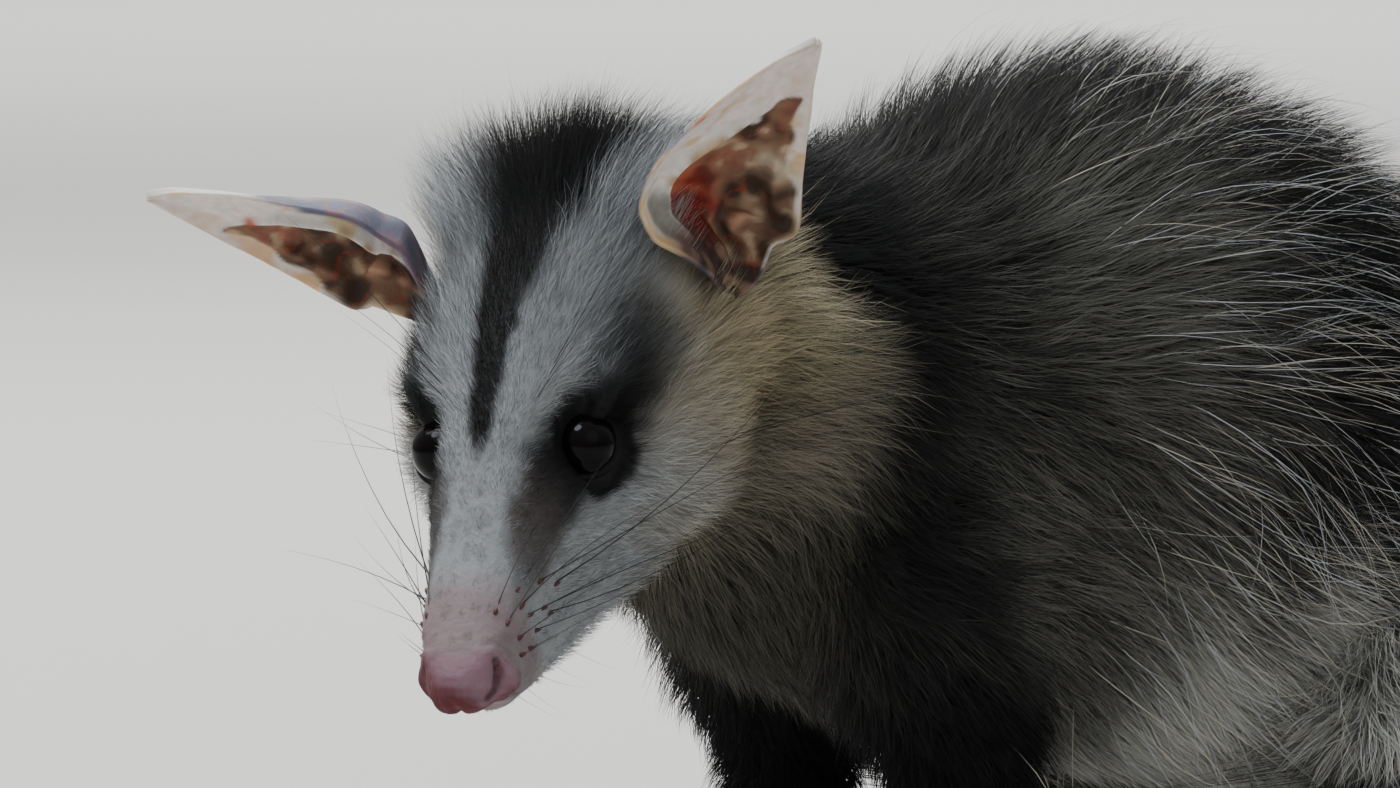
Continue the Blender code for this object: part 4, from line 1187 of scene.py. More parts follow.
    def face_tints(self, head: Array, mirror: Array, normals: Array) -> Tuple[Array, Array, Array]:
        """Root, tip and skin colours on the head.

        Args:
            head: Places in the head's frame.
            mirror: The same places, moved to the left side.
            normals: The skin's normals in the model's frame.

        Returns:
            The three sets of colours.
        """
        moved = head + 300
        blur = value_noise(moved, 3.2, 11) * 2.0
        wide = value_noise(moved, 11.0, 13) * 2.0
        x, y, z = mirror.T
        cheek = step(62.0, 24.0, x + 8 * wide) * step(26.0, 2.0, z + 4 * wide)
        cheek = np.maximum(cheek, step(32.0, 4.0, x + 9 * wide) * step(26.0, 14.0, z + 3 * wide))
        coat = Tints(WHITE * 0.62, WHITE)
        coat.lay(CHEEK * 0.75, CHEEK, cheek, tip_part=0.95)
        shadow = step(-8.0, -20.0, z + 3 * wide) * step(44.0, 24.0, x)
        coat.lay(OLIVE, OLIVE * 1.5, shadow * 0.85)
        mottle = 1.0 + 0.30 * wide + 0.22 * value_noise(moved, 5.0, 14) * 2.0
        mottle = mottle - 0.30 * spot((x, 31, 12), (y, 11, 7)) * step(8.0, 16.0, z)
        # painted shade: the hair tips on the middle of the forehead, behind and between the eyes, are
        # darkened by up to 14 %
        shade = 1.0 - 0.14 * step(30.0, 44.0, x) * step(64.0, 50.0, x) * step(12.0, 6.0, y)
        coat.tips = coat.tips * (mix_plain(1.0, mottle, step(88.0, 70.0, x)) * shade)[:, None]
        coat.lay(ASH * 0.4, ASH * 0.55, spot((x, 37, 10), (z, 17.5, 8)) * step(11, 18, y) * 0.85)
        throat = step(-16.0, -26.0, z + 2 * blur)
        coat.tips = mix(coat.tips, CREAM * 0.75, throat * step(70, 40, x))
        muzzle = step(84.0, 97.0, x + 1.5 * blur)
        coat.lay(ROSE * 0.72, MUZZLE_TIP, muzzle)
        snout = step(64.0, 84.0, x) * step(5.0, 1.0, y)
        coat.tips = mix(coat.tips, SNOUT_TIP, snout * (1 - muzzle))

        off, _, values, _ = Line.through(EYE_BAND, 1).nearest(mirror)
        loose = step(58.0, 44.0, x)
        front = step(58.0, 66.0, x)
        outer, inner = 1.30 + 0.35 * loose + 0.12 * front, 0.80 - 0.25 * loose - 0.30 * front
        dark = step(outer, inner, off / values[:, 0] + 0.22 * blur) * values[:, 1]
        band_tip = mix(BLACK, BROWN, step(62.0, 74.0, x))
        eye_off = distance(mirror, EYE_PLACE)
        dark = np.maximum(dark, step(11.5, 8.6, eye_off + 0.8 * blur))
        coat.lay(band_tip * 1.1, band_tip, dark)
        soft = 1.2 + 1.1 * step(50.0, 20.0, x)
        stripe = step(soft, -soft, y - self.stripe_half(x) + 1.1 * blur)
        coat.lay(SOOT * 0.6, BLACK * 0.6, stripe * step(2.0, 10.0, z) * step(71.5, 64.0, x))

        muzzle_skin = mix(ROSE * 0.68, WHITE * 0.32, 0.4 + 0.35 * wide)
        skin = mix(muzzle_skin, coat.roots * 0.8, step(96.0, 84.0, x))
        facing = HEAD.way_into(normals)
        # partly the nose's own dark red, partly painted shade: the pad darkens where it faces forward, to
        # the right and down, and most where it faces down
        red_and_shade = step(-0.30, 0.60, facing @ np.array([0.62, -0.46, -0.64]) + 0.12 * blur)
        red_and_shade = np.maximum(red_and_shade, 0.75 * step(0.05, -0.7, facing[:, 2]))
        pad = ROSE * np.array([0.50, 0.47, 0.54]) * (1 + 0.25 * wide)[:, None]
        pad = mix(pad, NOSE_RED_AND_SHADE, red_and_shade * 0.94)
        nose = step(100.6, 103.2, x + 0.05 * z + 0.50 * np.maximum(y - 3.0, 0.0))
        skin = mix(skin, pad, nose)
        # painted shade: the nostril slits, carved as grooves, are painted near black
        slit, reach, _, _ = Line.through(NOSTRIL_SLIT, 4).nearest(mirror)
        nostril = bell(slit, 0.0, 0.60) * (1.2 - 0.05 * reach)
        skin = mix(skin, NOSTRIL_SHADE, np.clip(nostril, 0, 1) * step(99.0, 101.5, x))
        skin = mix(skin, band_tip * 1.2, dark * 0.9)
        skin = mix(skin, BLACK * 0.35, step(9.6, 8.0, eye_off))
        return coat.roots, coat.tips, skin


def box_uv(points: Array, normals: Array) -> Array:
    """A place on an unwrap of the skin's shape, seen from the six sides of its box.

    Args:
        points: Places on the skin.
        normals: The skin's normals there.

    Returns:
        Two numbers for each place.
    """
    kind = np.argmax(np.abs(normals), axis=1)
    sign = normals[np.arange(len(points)), kind] > 0
    local = (points - UV_LOW) / UV_SPAN
    first = np.where(kind == 0, local[:, 1], local[:, 0])
    second = np.where(kind == 2, local[:, 1], local[:, 2])
    u = (kind + 0.02 + 0.96 * first) / 3.0
    v = (sign.astype(float) + 0.04 + 0.9 * second) / 2.0
    return np.column_stack([u, v])


class MeshMaker:
    """Turns arrays into Blender meshes."""

    def __init__(self, body: str) -> None:
        """Remember the body that the meshes ride on."""
        self.body = body

    def make(
        self,
        name: str,
        points: Array,
        triangles: Array,
        material: bpy.types.Material,
        tints: Optional[Array] = None,
        uv: Optional[Array] = None,
        normals: Optional[Array] = None,
    ) -> bpy.types.Object:
        """Make an object of triangles.

        Args:
            name: Name of the object.
            points: Vertices in the sections' millimetres.
            triangles: Three vertices a row.
            material: Its material.
            tints: Colour of each vertex.
            uv: Place of each vertex on the map OFBake.
            normals: Way that light is shaded for each vertex.

        Returns:
            The object, riding on the body.
        """
        mesh = bpy.data.meshes.new(name)
        placed = ((points - BOX_MIDDLE) * MM).astype(np.float32)
        mesh.vertices.add(len(placed))
        mesh.vertices.foreach_set("co", placed.ravel())
        mesh.loops.add(triangles.size)
        mesh.loops.foreach_set("vertex_index", triangles.astype(np.int32).ravel())
        mesh.polygons.add(len(triangles))
        mesh.polygons.foreach_set("loop_start", np.arange(0, triangles.size, 3, dtype=np.int32))
        mesh.polygons.foreach_set("use_smooth", np.ones(len(triangles), bool))
        if uv is not None:
            layer = mesh.uv_layers.new(name="OFBake")
            layer.data.foreach_set("uv", uv[triangles.ravel()].astype(np.float32).ravel())
        if tints is not None:
            layer = mesh.color_attributes.new("tint", "FLOAT_COLOR", "POINT")
            four = np.ones((len(points), 4), np.float32)
            four[:, :3] = tints
            layer.data.foreach_set("color", four.ravel())
        if normals is not None:
            layer = mesh.attributes.new("lay", "FLOAT_VECTOR", "POINT")
            layer.data.foreach_set("vector", normals.astype(np.float32).ravel())
        mesh.update()
        mesh.validate()
        mesh.materials.append(material)
        made = linked(name, mesh)
        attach(made, self.body)
        return made


@dataclass
class HairKind:
    """One kind of hair: how many, how long, how thick and how it stands."""

    name: str
    count: int
    length: Tuple[float, float]
    width: float
    lift: Tuple[float, float]
    clump: float
    stray: float
    where: Callable[[SkinData], Array]
    joints: int = 3
    length_by_depth: bool = True
    tip_white: float = 0.0


class Barber:
    """Grows blades of hair on the skin."""

    PIECE = 195000
    LIFT_SPREAD, TILT_SPREAD, WAVE = 0.12, 0.9, 0.07
    LIFTS, RESTS = (0.06, 1.45), (-0.3, 1.35)
    WIDTHS, SHADES, PALES, PULLS = (0.7, 1.3), (0.78, 1.2), (0.6, 1.2), (0.4, 1.3)
    TAPER = 1.9
    TUFT_LEAST, TUFT_PART = 1.3, 0.24
    SPECKS = 0.10
    KNOWN = ("points", "normals", "lie", "depth", "root_tint", "tip_tint", "face", "mixed", "puff")

    def __init__(self, data: SkinData, maker: MeshMaker, material: bpy.types.Material) -> None:
        """Start the draws and measure the skin's triangles.

        Args:
            data: What is known of the skin.
            maker: Makes the meshes.
            material: The hair's material.
        """
        self.data = data
        self.maker = maker
        self.material = material
        self.chance = np.random.default_rng(SEED)
        corners = data.points[data.triangles]
        cross = np.cross(corners[:, 1] - corners[:, 0], corners[:, 2] - corners[:, 0])
        self.area = np.linalg.norm(cross, axis=1) / 2

    def roots(self, weight: Array, count: int) -> Dict[str, Array]:
        """Scatter roots over the skin.

        Args:
            weight: How thickly hair stands at each vertex.
            count: Number of roots.

        Returns:
            What is known of the skin at each root.
        """
        data = self.data
        heavy = weight[data.triangles].mean(axis=1) * self.area
        steps = np.cumsum(heavy)
        spots = (np.arange(count) + self.chance.random(count)) / count * steps[-1]
        chosen = np.minimum(np.searchsorted(steps, spots), len(heavy) - 1)
        a, b = self.chance.random(count), self.chance.random(count)
        flip = a + b > 1
        a[flip], b[flip] = 1 - a[flip], 1 - b[flip]
        shares = np.column_stack([1 - a - b, a, b])
        corners = data.triangles[chosen]

        def at(values: Array) -> Array:
            """Values at the roots."""
            if values.ndim == 1:
                return np.sum(values[corners] * shares, axis=1)
            return np.sum(values[corners] * shares[:, :, None], axis=1)

        known = {name: at(getattr(data, name)) for name in self.KNOWN}
        return {**known, "normals": unit(known["normals"]), "lie": unit(known["lie"])}

    def grow(self, kind: HairKind) -> None:
        """Grow one kind of hair, in as many pieces as it needs.

        Args:
            kind: The kind of hair.
        """
        known = self.roots(np.maximum(kind.where(self.data), 0.0), kind.count)
        count = kind.count
        chance = self.chance
        point, normal, lie = known["points"], known["normals"], known["lie"]
        side = np.cross(normal, lie)
        stray = chance.normal(0, kind.stray, count)
        lie = unit(lie * np.cos(stray)[:, None] + side * np.sin(stray)[:, None])
        side = np.cross(normal, lie)
        length = chance.uniform(*kind.length, count)
        if kind.length_by_depth:
            length = length * known["depth"]
        lift = np.clip(chance.normal(kind.lift[0], self.LIFT_SPREAD, count) + known["puff"], *self.LIFTS)
        rest = np.clip(kind.lift[1] + 0.5 * (lift - kind.lift[0]), *self.RESTS)
        shares = np.linspace(0.0, 1.0, kind.joints + 1)
        t = shares[None, :]
        rise = np.sin(lift)[:, None] * t - 0.5 * (np.sin(lift) - np.sin(rest))[:, None] * t * t
        ahead = np.cos(lift)[:, None] * t + 0.5 * (np.cos(rest) - np.cos(lift))[:, None] * t * t
        line = (
            (point - normal * ROOT_DEPTH)[:, None, :]
            + lie[:, None, :] * (ahead * length[:, None])[:, :, None]
            + normal[:, None, :] * (rise * length[:, None])[:, :, None]
        )
        if kind.clump > 0:
            self.gather(line, point, kind)
        wave = chance.normal(0, self.WAVE, (count, 1)) * length[:, None] * np.sin(t * 2.6)
        line += side[:, None, :] * wave[:, :, None]
        line[:, :, 2] = np.maximum(line[:, :, 2], FLOOR_GAP)
        tilt = chance.normal(0, self.TILT_SPREAD, count)
        blade = side * np.cos(tilt)[:, None] + normal * np.sin(tilt)[:, None]
        half = 0.5 * kind.width * chance.uniform(*self.WIDTHS, count) * (0.45 + 0.55 * (1 - known["face"]))
        spread = blade[:, None, :] * (half[:, None] * (1 - shares**self.TAPER)[None, :])[:, :, None]
        n = kind.joints
        body, half = line[:, :n], spread[:, :n]
        verts = np.concatenate([body - half, body + half, line[:, n:]], axis=1)
        share = np.concatenate([shares[:n], shares[:n], shares[n:]])
        tint = self.dye(kind, known, share)
        base = box_uv(point, normal)
        edge = np.linspace(-1.0, 1.0, n)
        flanks = [np.column_stack([np.full(n, sign), edge]) for sign in (-1.0, 1.0)]
        offsets = np.vstack([*flanks, [[0.0, 1.4]]]) * BLADE_UV
        uv = base[:, None, :] + offsets[None]
        single = [(k, n + k, n + k + 1) for k in range(n - 1)]
        single += [(k, n + k + 1, k + 1) for k in range(n - 1)]
        single = np.array(single + [(n - 1, 2 * n - 1, 2 * n)])
        lay = np.broadcast_to(normal[:, None, :], verts.shape)
        order = np.argsort(point[:, 0] + 0.5 * point[:, 1])
        pieces = max(1, math.ceil(count * len(single) / self.PIECE))
        for i, part in enumerate(np.array_split(order, pieces)):
            tris = (np.arange(len(part)) * (2 * n + 1))[:, None, None] + single[None]
            self.maker.make(
                f"{kind.name}_{i + 1}",
                verts[part].reshape(-1, 3),
                tris.reshape(-1, 3),
                self.material,
                np.clip(tint[part].reshape(-1, 3), 0, 1),
                uv[part].reshape(-1, 2),
                lay[part].reshape(-1, 3),
            )
        LOG.info("%s: %d hairs", kind.name, count)

    def gather(self, line: Array, point: Array, kind: HairKind) -> None:
        """Draw the tips of neighbouring hairs together in tufts.

        Args:
            line: The hairs, which are moved.
            point: Their roots.
            kind: Their kind.
        """
        mean_length = float(np.mean(np.linalg.norm(line[:, -1] - line[:, 0], axis=1)))
        size = max(self.TUFT_LEAST, self.TUFT_PART * mean_length)
        tip = line[:, -1]
        moved = point + 0.6 * size * value_noise(point, size * 1.7, 17)[:, None]
        key = cell_key(*np.floor(moved / size).astype(np.int64).T)
        _, group = np.unique(key, return_inverse=True)
        total = np.bincount(group)
        centre = np.column_stack([np.bincount(group, tip[:, k]) / total for k in range(3)])
        strength = kind.clump * self.chance.uniform(*self.PULLS, len(total))[group]
        sway = self.chance.normal(0, 0.10 * size, (len(total), 3))[group]
        pull = (centre[group] - tip) * np.minimum(strength, 0.95)[:, None] + sway * 2.0
        t = np.linspace(0.0, 1.0, line.shape[1])[None, :]
        line += pull[:, None, :] * (t * t)[:, :, None]

    def dye(self, kind: HairKind, known: Dict[str, Array], share: Array) -> Array:
        """Colours along each hair of a kind.

        Args:
            kind: The kind of hair.
            known: What is known at each root.
            share: Shares of the length.

        Returns:
            The colours.
        """
        chance, count = self.chance, kind.count
        shade = chance.uniform(*self.SHADES, count)
        black = (chance.random(count) < known["mixed"]).astype(float)
        dark = BLACK * (0.7 + 1.5 * (1 - known["face"]))[:, None]
        tip = mix(known["tip_tint"], dark, black * 0.92)
        speck = (chance.random(count) < self.SPECKS).astype(float) * known["face"]
        tip = mix(tip, known["root_tint"] * 0.55, speck)
        tint = mix(known["root_tint"][:, None, :], tip[:, None, :], step(0.10, 0.70, share))
        tint = tint * shade[:, None, None]
        if kind.tip_white > 0:
            pale = STRAW * chance.uniform(*self.PALES, count)[:, None]
            pale = mix(pale, WHITE * 1.3, (chance.random(count) < kind.tip_white).astype(float))
            tint = mix(tint, pale[:, None, :], step(0.05, 0.4, share) * 0.95)
        return tint


class Looks:
    """The materials of the model."""

    @staticmethod
    def fresh(name: str) -> Tuple[bpy.types.Material, bpy.types.NodeTree, bpy.types.Node]:
        """A new material with its node tree and main shader.

        Args:
            name: Its name.

        Returns:
            All three.
        """
        material = bpy.data.materials.new(name)
        material.use_nodes = True
        tree = material.node_tree
        return material, tree, tree.nodes["Principled BSDF"]

    @staticmethod
    def grain(name: str, size: float, detail: float, strength: float) -> bpy.types.NodeTree:
        """A node group that turns noise on the object's own place into a bump.

        Args:
            name: Name of the group.
            size: Size of the noise, as its scale.
            detail: Detail of the noise.
            strength: Strength of the bump.

        Returns:
            The group, with a normal as output.
        """
        group = bpy.data.node_groups.new(name, "ShaderNodeTree")
        group.interface.new_socket(name="Normal", in_out="OUTPUT", socket_type="NodeSocketVector")
        coords = group.nodes.new("ShaderNodeTexCoord")
        noise = set_inputs(group.nodes.new("ShaderNodeTexNoise"), Scale=size, Detail=detail)
        bump = set_inputs(group.nodes.new("ShaderNodeBump"), Strength=strength, Distance=0.0006)
        out = group.nodes.new("NodeGroupOutput")
        group.links.new(coords.outputs["Object"], noise.inputs["Vector"])
        group.links.new(noise.outputs["Fac"], bump.inputs["Height"])
        group.links.new(bump.outputs["Normal"], out.inputs["Normal"])
        return group

    @classmethod
    def tinted(
        cls,
        name: str,
        rough: float,
        flesh: float,
        grain: Optional[bpy.types.NodeTree] = None,
        shine: float = 0.25,
    ) -> bpy.types.Material:
        """A material whose colour is the attribute tint.

        Args:
            name: Name of the material.
            rough: Roughness.
            flesh: Share of light that goes through the surface and out again.
            grain: The group for its bump, or None.
            shine: Specular level.

        Returns:
            The material.
        """
        material, tree, shader = cls.fresh(name)
        tint = tree.nodes.new("ShaderNodeAttribute")
        tint.attribute_name = "tint"
        tree.links.new(tint.outputs["Color"], shader.inputs["Base Color"])
        set_inputs(shader, Roughness=rough, Specular_IOR_Level=shine, Subsurface_Weight=flesh)
        set_inputs(shader, Subsurface_Scale=0.002)
        if grain:
            node = tree.nodes.new("ShaderNodeGroup")
            node.node_tree = grain
            tree.links.new(node.outputs["Normal"], shader.inputs["Normal"])
        return material

    @classmethod
    def hair(cls, name: str) -> bpy.types.Material:
        """Hair: the attribute tint, lit mostly as the coat lies and partly as each blade stands.

        Args:
            name: Name of the material.

        Returns:
            The material.
        """
        material, tree, shader = cls.fresh(name)
        tint = tree.nodes.new("ShaderNodeAttribute")
        tint.attribute_name = "tint"
        lay = tree.nodes.new("ShaderNodeAttribute")
        lay.attribute_name = "lay"
        tree.links.new(tint.outputs["Color"], shader.inputs["Base Color"])
        set_inputs(shader, Roughness=0.58, Specular_IOR_Level=0.07)
        through = tree.nodes.new("ShaderNodeBsdfTranslucent")
        tree.links.new(tint.outputs["Color"], through.inputs["Color"])
        blend = set_inputs(tree.nodes.new("ShaderNodeMixShader"), Fac=0.28)
        shape = tree.nodes.new("ShaderNodeNewGeometry")
        lean = tree.nodes.new("ShaderNodeMix")
        lean.data_type = "VECTOR"
        lean.inputs["Factor"].default_value = 0.62
        tree.links.new(shape.outputs["Normal"], lean.inputs["A"])
        tree.links.new(lay.outputs["Vector"], lean.inputs["B"])
        tree.links.new(lean.outputs["Result"], shader.inputs["Normal"])
        tree.links.new(shader.outputs["BSDF"], blend.inputs[1])
        tree.links.new(through.outputs["BSDF"], blend.inputs[2])
        tree.links.new(blend.outputs["Shader"], tree.nodes["Material Output"].inputs["Surface"])
        return material

    @classmethod
    def plain(cls, name: str, color: Row, rough: float) -> bpy.types.Material:
        """A material of one colour.

        Args:
            name: Its name.
            color: Its colour.
            rough: Roughness.

        Returns:
            The material.
        """
        material, _, shader = cls.fresh(name)
        set_inputs(shader, Base_Color=(*color, 1.0), Roughness=rough)
        return material


def sweep(line: Array, radii: Array, sides: int, up: Row = (0.0, 0.0, 1.0)) -> Tuple[Array, Array]:
    """A closed round form along a line.

    Args:
        line: Points of the line.
        radii: Half width and half height at each point.
        sides: Sides of the form.
        up: A direction that the line doesn't run in.

    Returns:
        Its vertices and triangles.
    """
    c, s = circle(sides)
    ahead = unit(np.gradient(line, axis=0))
    side = unit(np.cross(ahead, np.array(up)))
    rise = np.cross(side, ahead)
    ring = side[:, None] * c[None, :, None] * radii[:, None, :1]
    ring = ring + rise[:, None] * s[None, :, None] * radii[:, None, 1:]
    verts = (line[:, None] + ring).reshape(-1, 3)
    tris = []
    for i in range(len(line) - 1):
        for k in range(sides):
            a, b = i * sides + k, i * sides + (k + 1) % sides
            tris += [(a, b, b + sides), (a, b + sides, a + sides)]
    ends = len(verts)
    verts = np.vstack([verts, line[:1], line[-1:]])
    last = (len(line) - 1) * sides
    for k in range(sides):
        tris += [(ends, (k + 1) % sides, k), (ends + 1, last + k, last + (k + 1) % sides)]
    return verts, np.array(tris)


class Heap:
    """Many small forms joined in one mesh."""

    def __init__(self) -> None:
        """Begin with nothing."""
        self.verts: List[Array] = []
        self.tris: List[Array] = []
        self.tints: List[Array] = []
        self.count = 0

    def add(self, verts: Array, tris: Array, tints: Array) -> None:
        """Add a form with a colour for each vertex.

        Args:
            verts: Its vertices.
            tris: Its triangles.
            tints: One colour, or one for each vertex.
        """
        self.verts.append(verts)
        self.tris.append(tris + self.count)
        self.tints.append(np.broadcast_to(tints, verts.shape))
        self.count += len(verts)

    def make(self, maker: MeshMaker, name: str, material: bpy.types.Material) -> bpy.types.Object:
        """Make the joined object."""
        verts, tris, tints = (np.vstack(part) for part in (self.verts, self.tris, self.tints))
        return maker.make(name, verts, tris, material, tints)


class EarSmith:
    """The bare ears: thin cups with folds, veins and mottles."""

    ROWS, ACROSS = 96, 72
    SECTIONS = smooth_rows(EAR_ROWS, 8)
    WALL_SIDE = 0.45
    BLOTS = (
        (0.31, 0.60, 0.055, 0.16),
        (0.09, 0.52, 0.05, 0.10),
        (0.20, 0.90, 0.05, 0.14),
        (0.24, 0.40, 0.04, 0.10),
    )

    def __init__(self, maker: MeshMaker) -> None:
        """Remember what makes the meshes."""
        self.maker = maker

    def frame(self, side: Side) -> Tuple[Array, Array, Array, Array, float]:
        """Root, axis, breadth and opening of an ear in the head's frame, and its length.

        Args:
            side: The side.

        Returns:
            All five.
        """
        root, axis, across = (np.array(v) for v in EARS[side.label])
        length = float(np.linalg.norm(axis))
        axis = axis / length
        across = unit(across - axis * (across @ axis))
        open_way = np.cross(across, axis) if side is Side.LEFT else np.cross(axis, across)
        return root, axis, across, open_way, length

    def sheet(self, side: Side, share: Array, s: Array) -> Array:
        """The middle of the ear's wall at shares of its length and breadth.

        Args:
            side: The side.
            share: Shares of the length.
            s: Places across, from -1 to 1.

        Returns:
            The places.
        """
        root, axis, across, open_way, length = self.frame(side)
        rows = self.SECTIONS
        front, rear, cup = (np.interp(share, rows[:, 0], rows[:, k]) for k in (1, 2, 3))
        fade_at, fade = np.array(EAR_RIM_FADE).T
        fore, aft = (rim * np.interp(share, fade_at, fade) for rim in EAR_RIM[side.label])
        depth = mix_plain(fore, aft, (s + 1) / 2) - cup * (1 - np.abs(s) ** 2.4)
        if side is Side.RIGHT:
            front = front - 7.5 * step(0.24, 0.02, share) - 3.4 * bell(share, 0.26, 0.13)
        wide = mix_plain(front, rear, (s + 1) / 2)
        spine = root + axis * (length * share)[..., None]
        return spine + across * wide[..., None] + open_way * depth[..., None]

    def relief(self, side: Side, points: Array, share: Array, s: Array) -> Array:
        """How far the inside stands out, in millimetres.

        Args:
            side: The side.
            points: Places in the head's frame.
            share: Shares of the length.
            s: Places across, from -1 to 1.

        Returns:
            One number for each place.
        """
        border = self.border(side, share)
        low = step(0.0, 0.12, share) * step(0.72, 0.50, share)
        crest = 1.9 * bell(s - border, -0.05, 0.07) * low
        fold = 2.4 * bell(s - 0.22 + 0.9 * (share - 0.16), 0.0, 0.16) * bell(share, 0.14, 0.14)
        knob = 2.0 * spot((share, 0.14, 0.045), (s, 0.62, 0.13))
        second = 1.2 * bell(s - 0.80 + 0.3 * (share - 0.3), 0.0, 0.07) * step(0.2, 0.3, share)
        second = second * step(0.62, 0.4, share)
        local = points - np.array(EARS[side.label][0]) + 90
        cells = 0.8 * np.abs(value_noise(local, 4.2, 25)) * step(border - 0.1, border + 0.2, s)
        return crest + fold + knob + second + cells

    @staticmethod
    def border(side: Side, share: Array) -> Array:
        """Where the dark inner part begins, at shares of the ear's length."""
        return np.interp(share, *np.array(EAR_BAND[side.label]).T)

    def tint(self, side: Side, points: Array, share: Array, s: Array, inside: bool) -> Array:
        """Colours of one face of an ear.

        Args:
            side: The side that the ear stands on.
            points: Places in the head's frame.
            share: Shares of the ear's length.
            s: Places across it, from -1 in front to 1 at the rear.
            inside: Whether this is the inside of the cup.

        Returns:
            One colour for each place.
        """
        local = points - np.array(EARS[side.label][0]) + 90
        coarse = value_noise(local, 6.0, 21)
        fine = value_noise(local, 2.6, 22)
        tiny = value_noise(local, 1.1, 24)
        vein = np.abs(value_noise(local, 5.0, 23))
        yellow = step(0.04, 0.24, coarse + 0.6 * fine) * step(0.95, 0.5, share)
        tint = mix(EAR["flesh"], EAR["ochre"], yellow * 0.75)
        tint = mix(tint, EAR["flush"], step(0.030, 0.0, vein) * step(0.9, 0.6, share) * 0.35)
        if inside:
            tint = self.inner_tint(side, tint, share, s, coarse, fine, vein)
        else:
            slate = mix(EAR["slate"], EAR["slate_pale"], step(-0.1, 0.25, coarse + 0.3 * fine))
            tint = mix(tint, slate, step(0.66, 0.50, share + 0.30 * coarse) * 0.96)
            veins = step(0.030, 0.0, vein) * step(0.95, 0.6, share)
            tint = mix(tint, EAR["vein_back"], veins * 0.4)
        edge = step(0.955, 0.985, np.abs(s)) * step(0.0, 0.1, share)
        if side is Side.RIGHT:
            edge = edge * np.maximum(step(-0.5, 0.0, s), step(0.46, 0.54, share))
        tint = mix(tint, EAR["edge"], edge * np.clip(0.35 + 1.2 * coarse, 0, 1))
        sore = spot((share, 0.61, 0.022), (s, 0.43 if side is Side.RIGHT else -0.93, 0.10))
        tint = mix(tint, EAR["sore"], np.clip(sore * 1.3, 0, 1) * 0.8)
        return tint * (1 + 0.25 * tiny)[:, None]

    def inner_tint(
        self, side: Side, tint: Array, share: Array, s: Array, coarse: Array, fine: Array, vein: Array
    ) -> Array:
        """Colours of an ear's inside.

        Args:
            side: The side that the ear stands on.
            tint: Colours of the bare skin.
            share: Shares of the ear's length.
            s: Places across it, from -1 in front to 1 at the rear.
            coarse: Coarse mottles.
            fine: Fine mottles.
            vein: How far each place is from a vein.

        Returns:
            The colours with all markings.
        """
        border = self.border(side, share)
        rim_at = s + 0.05 * fine + 0.14 * step(0.2, 0.5, share) * (1 + 2 * coarse)
        inner = step(border - 0.06, border + 0.04, s + 0.26 * fine + 0.10 * coarse)
        inner = inner * step(1.02, 0.965, rim_at)
        brown = mix(EAR["dark"], EAR["brown"], step(-0.30, 0.10, fine + 0.6 * coarse))
        brown = mix(brown, EAR["cell"], step(0.14, 0.34, fine + 0.5 * coarse) * 0.85)
        brown = mix(brown, EAR["russet"], step(0.16, 0.36, coarse - 0.6 * fine) * 0.5)
        tint = mix(tint, brown, inner)
        if side is Side.RIGHT:
            fore = mix(EAR["slate"], EAR["slate_root"], step(0.22, 0.05, share + 0.2 * coarse))
            fore_share = step(0.50, 0.44, share + 0.06 * coarse) * step(0.06, -0.02, s + 0.03 * fine)
            tint = mix(tint, fore, fore_share * 0.96)
        else:
            # painted shade: a dull grey-olive laid in the lower hollow between the front rim and the crest
            # of the left ear
            hollow_shade = step(-0.93, -0.84, s + 0.05 * fine) * step(border, border - 0.08, s)
            hollow_shade = hollow_shade * step(0.02, 0.08, share) * step(0.27, 0.20, share + 0.06 * fine)
            tint = mix(tint, EAR["hollow_shade"], hollow_shade * 0.85)
            rim = step(-0.88, -0.94, s) * step(0.02, 0.07, share) * step(0.36, 0.28, share)
            tint = mix(tint, EAR["rim"], rim * np.clip(0.75 + 1.5 * fine, 0, 1))
        glow = np.clip(spot((share, 0.15, 0.18), (s, -0.20, 0.34)) * 1.7, 0, 1)
        glow = glow * step(border - 0.02, border + 0.06, s)
        red = mix(EAR["glow"], EAR["glow_edge"], step(0.14, 0.36, share - 0.20 * (s + 0.2) + 0.25 * fine))
        tint = mix(tint, red, glow if side is Side.LEFT else glow * 0.35)
        knob = np.clip(spot((share, 0.14, 0.035), (s, 0.61, 0.10)) * 1.2, 0, 1)
        tint = mix(tint, EAR["knob"], knob * 0.8)
        for place, at, long, wide in self.BLOTS:
            blot = spot((share, place, long), (s, at, wide))
            tint = mix(tint, EAR["blot"], np.clip(blot * (1.3 + 1.6 * fine), 0, 1) * 0.92)
        if side is Side.LEFT:
            pale = spot((share, 0.43, 0.05), (s, 0.74, 0.22))
            tint = mix(tint, EAR["pale"], np.clip(pale * (1.2 + 1.4 * fine), 0, 1) * 0.8)
            foot = step(0.10, 0.03, share + 0.04 * fine) * step(-0.2, -0.5, s)
            tint = mix(tint, EAR["foot"], foot * 0.9)
        lobe = mix(EAR["lobe"], EAR["lobe_pale"], step(-0.05, 0.25, fine))
        tint = mix(tint, lobe, step(0.06, 0.0, share + 0.05 * fine) * 0.9)
        veins = step(0.028, 0.0, vein) * step(0.85, 0.5, share) * inner
        return mix(tint, EAR["vein"], veins * 0.55)

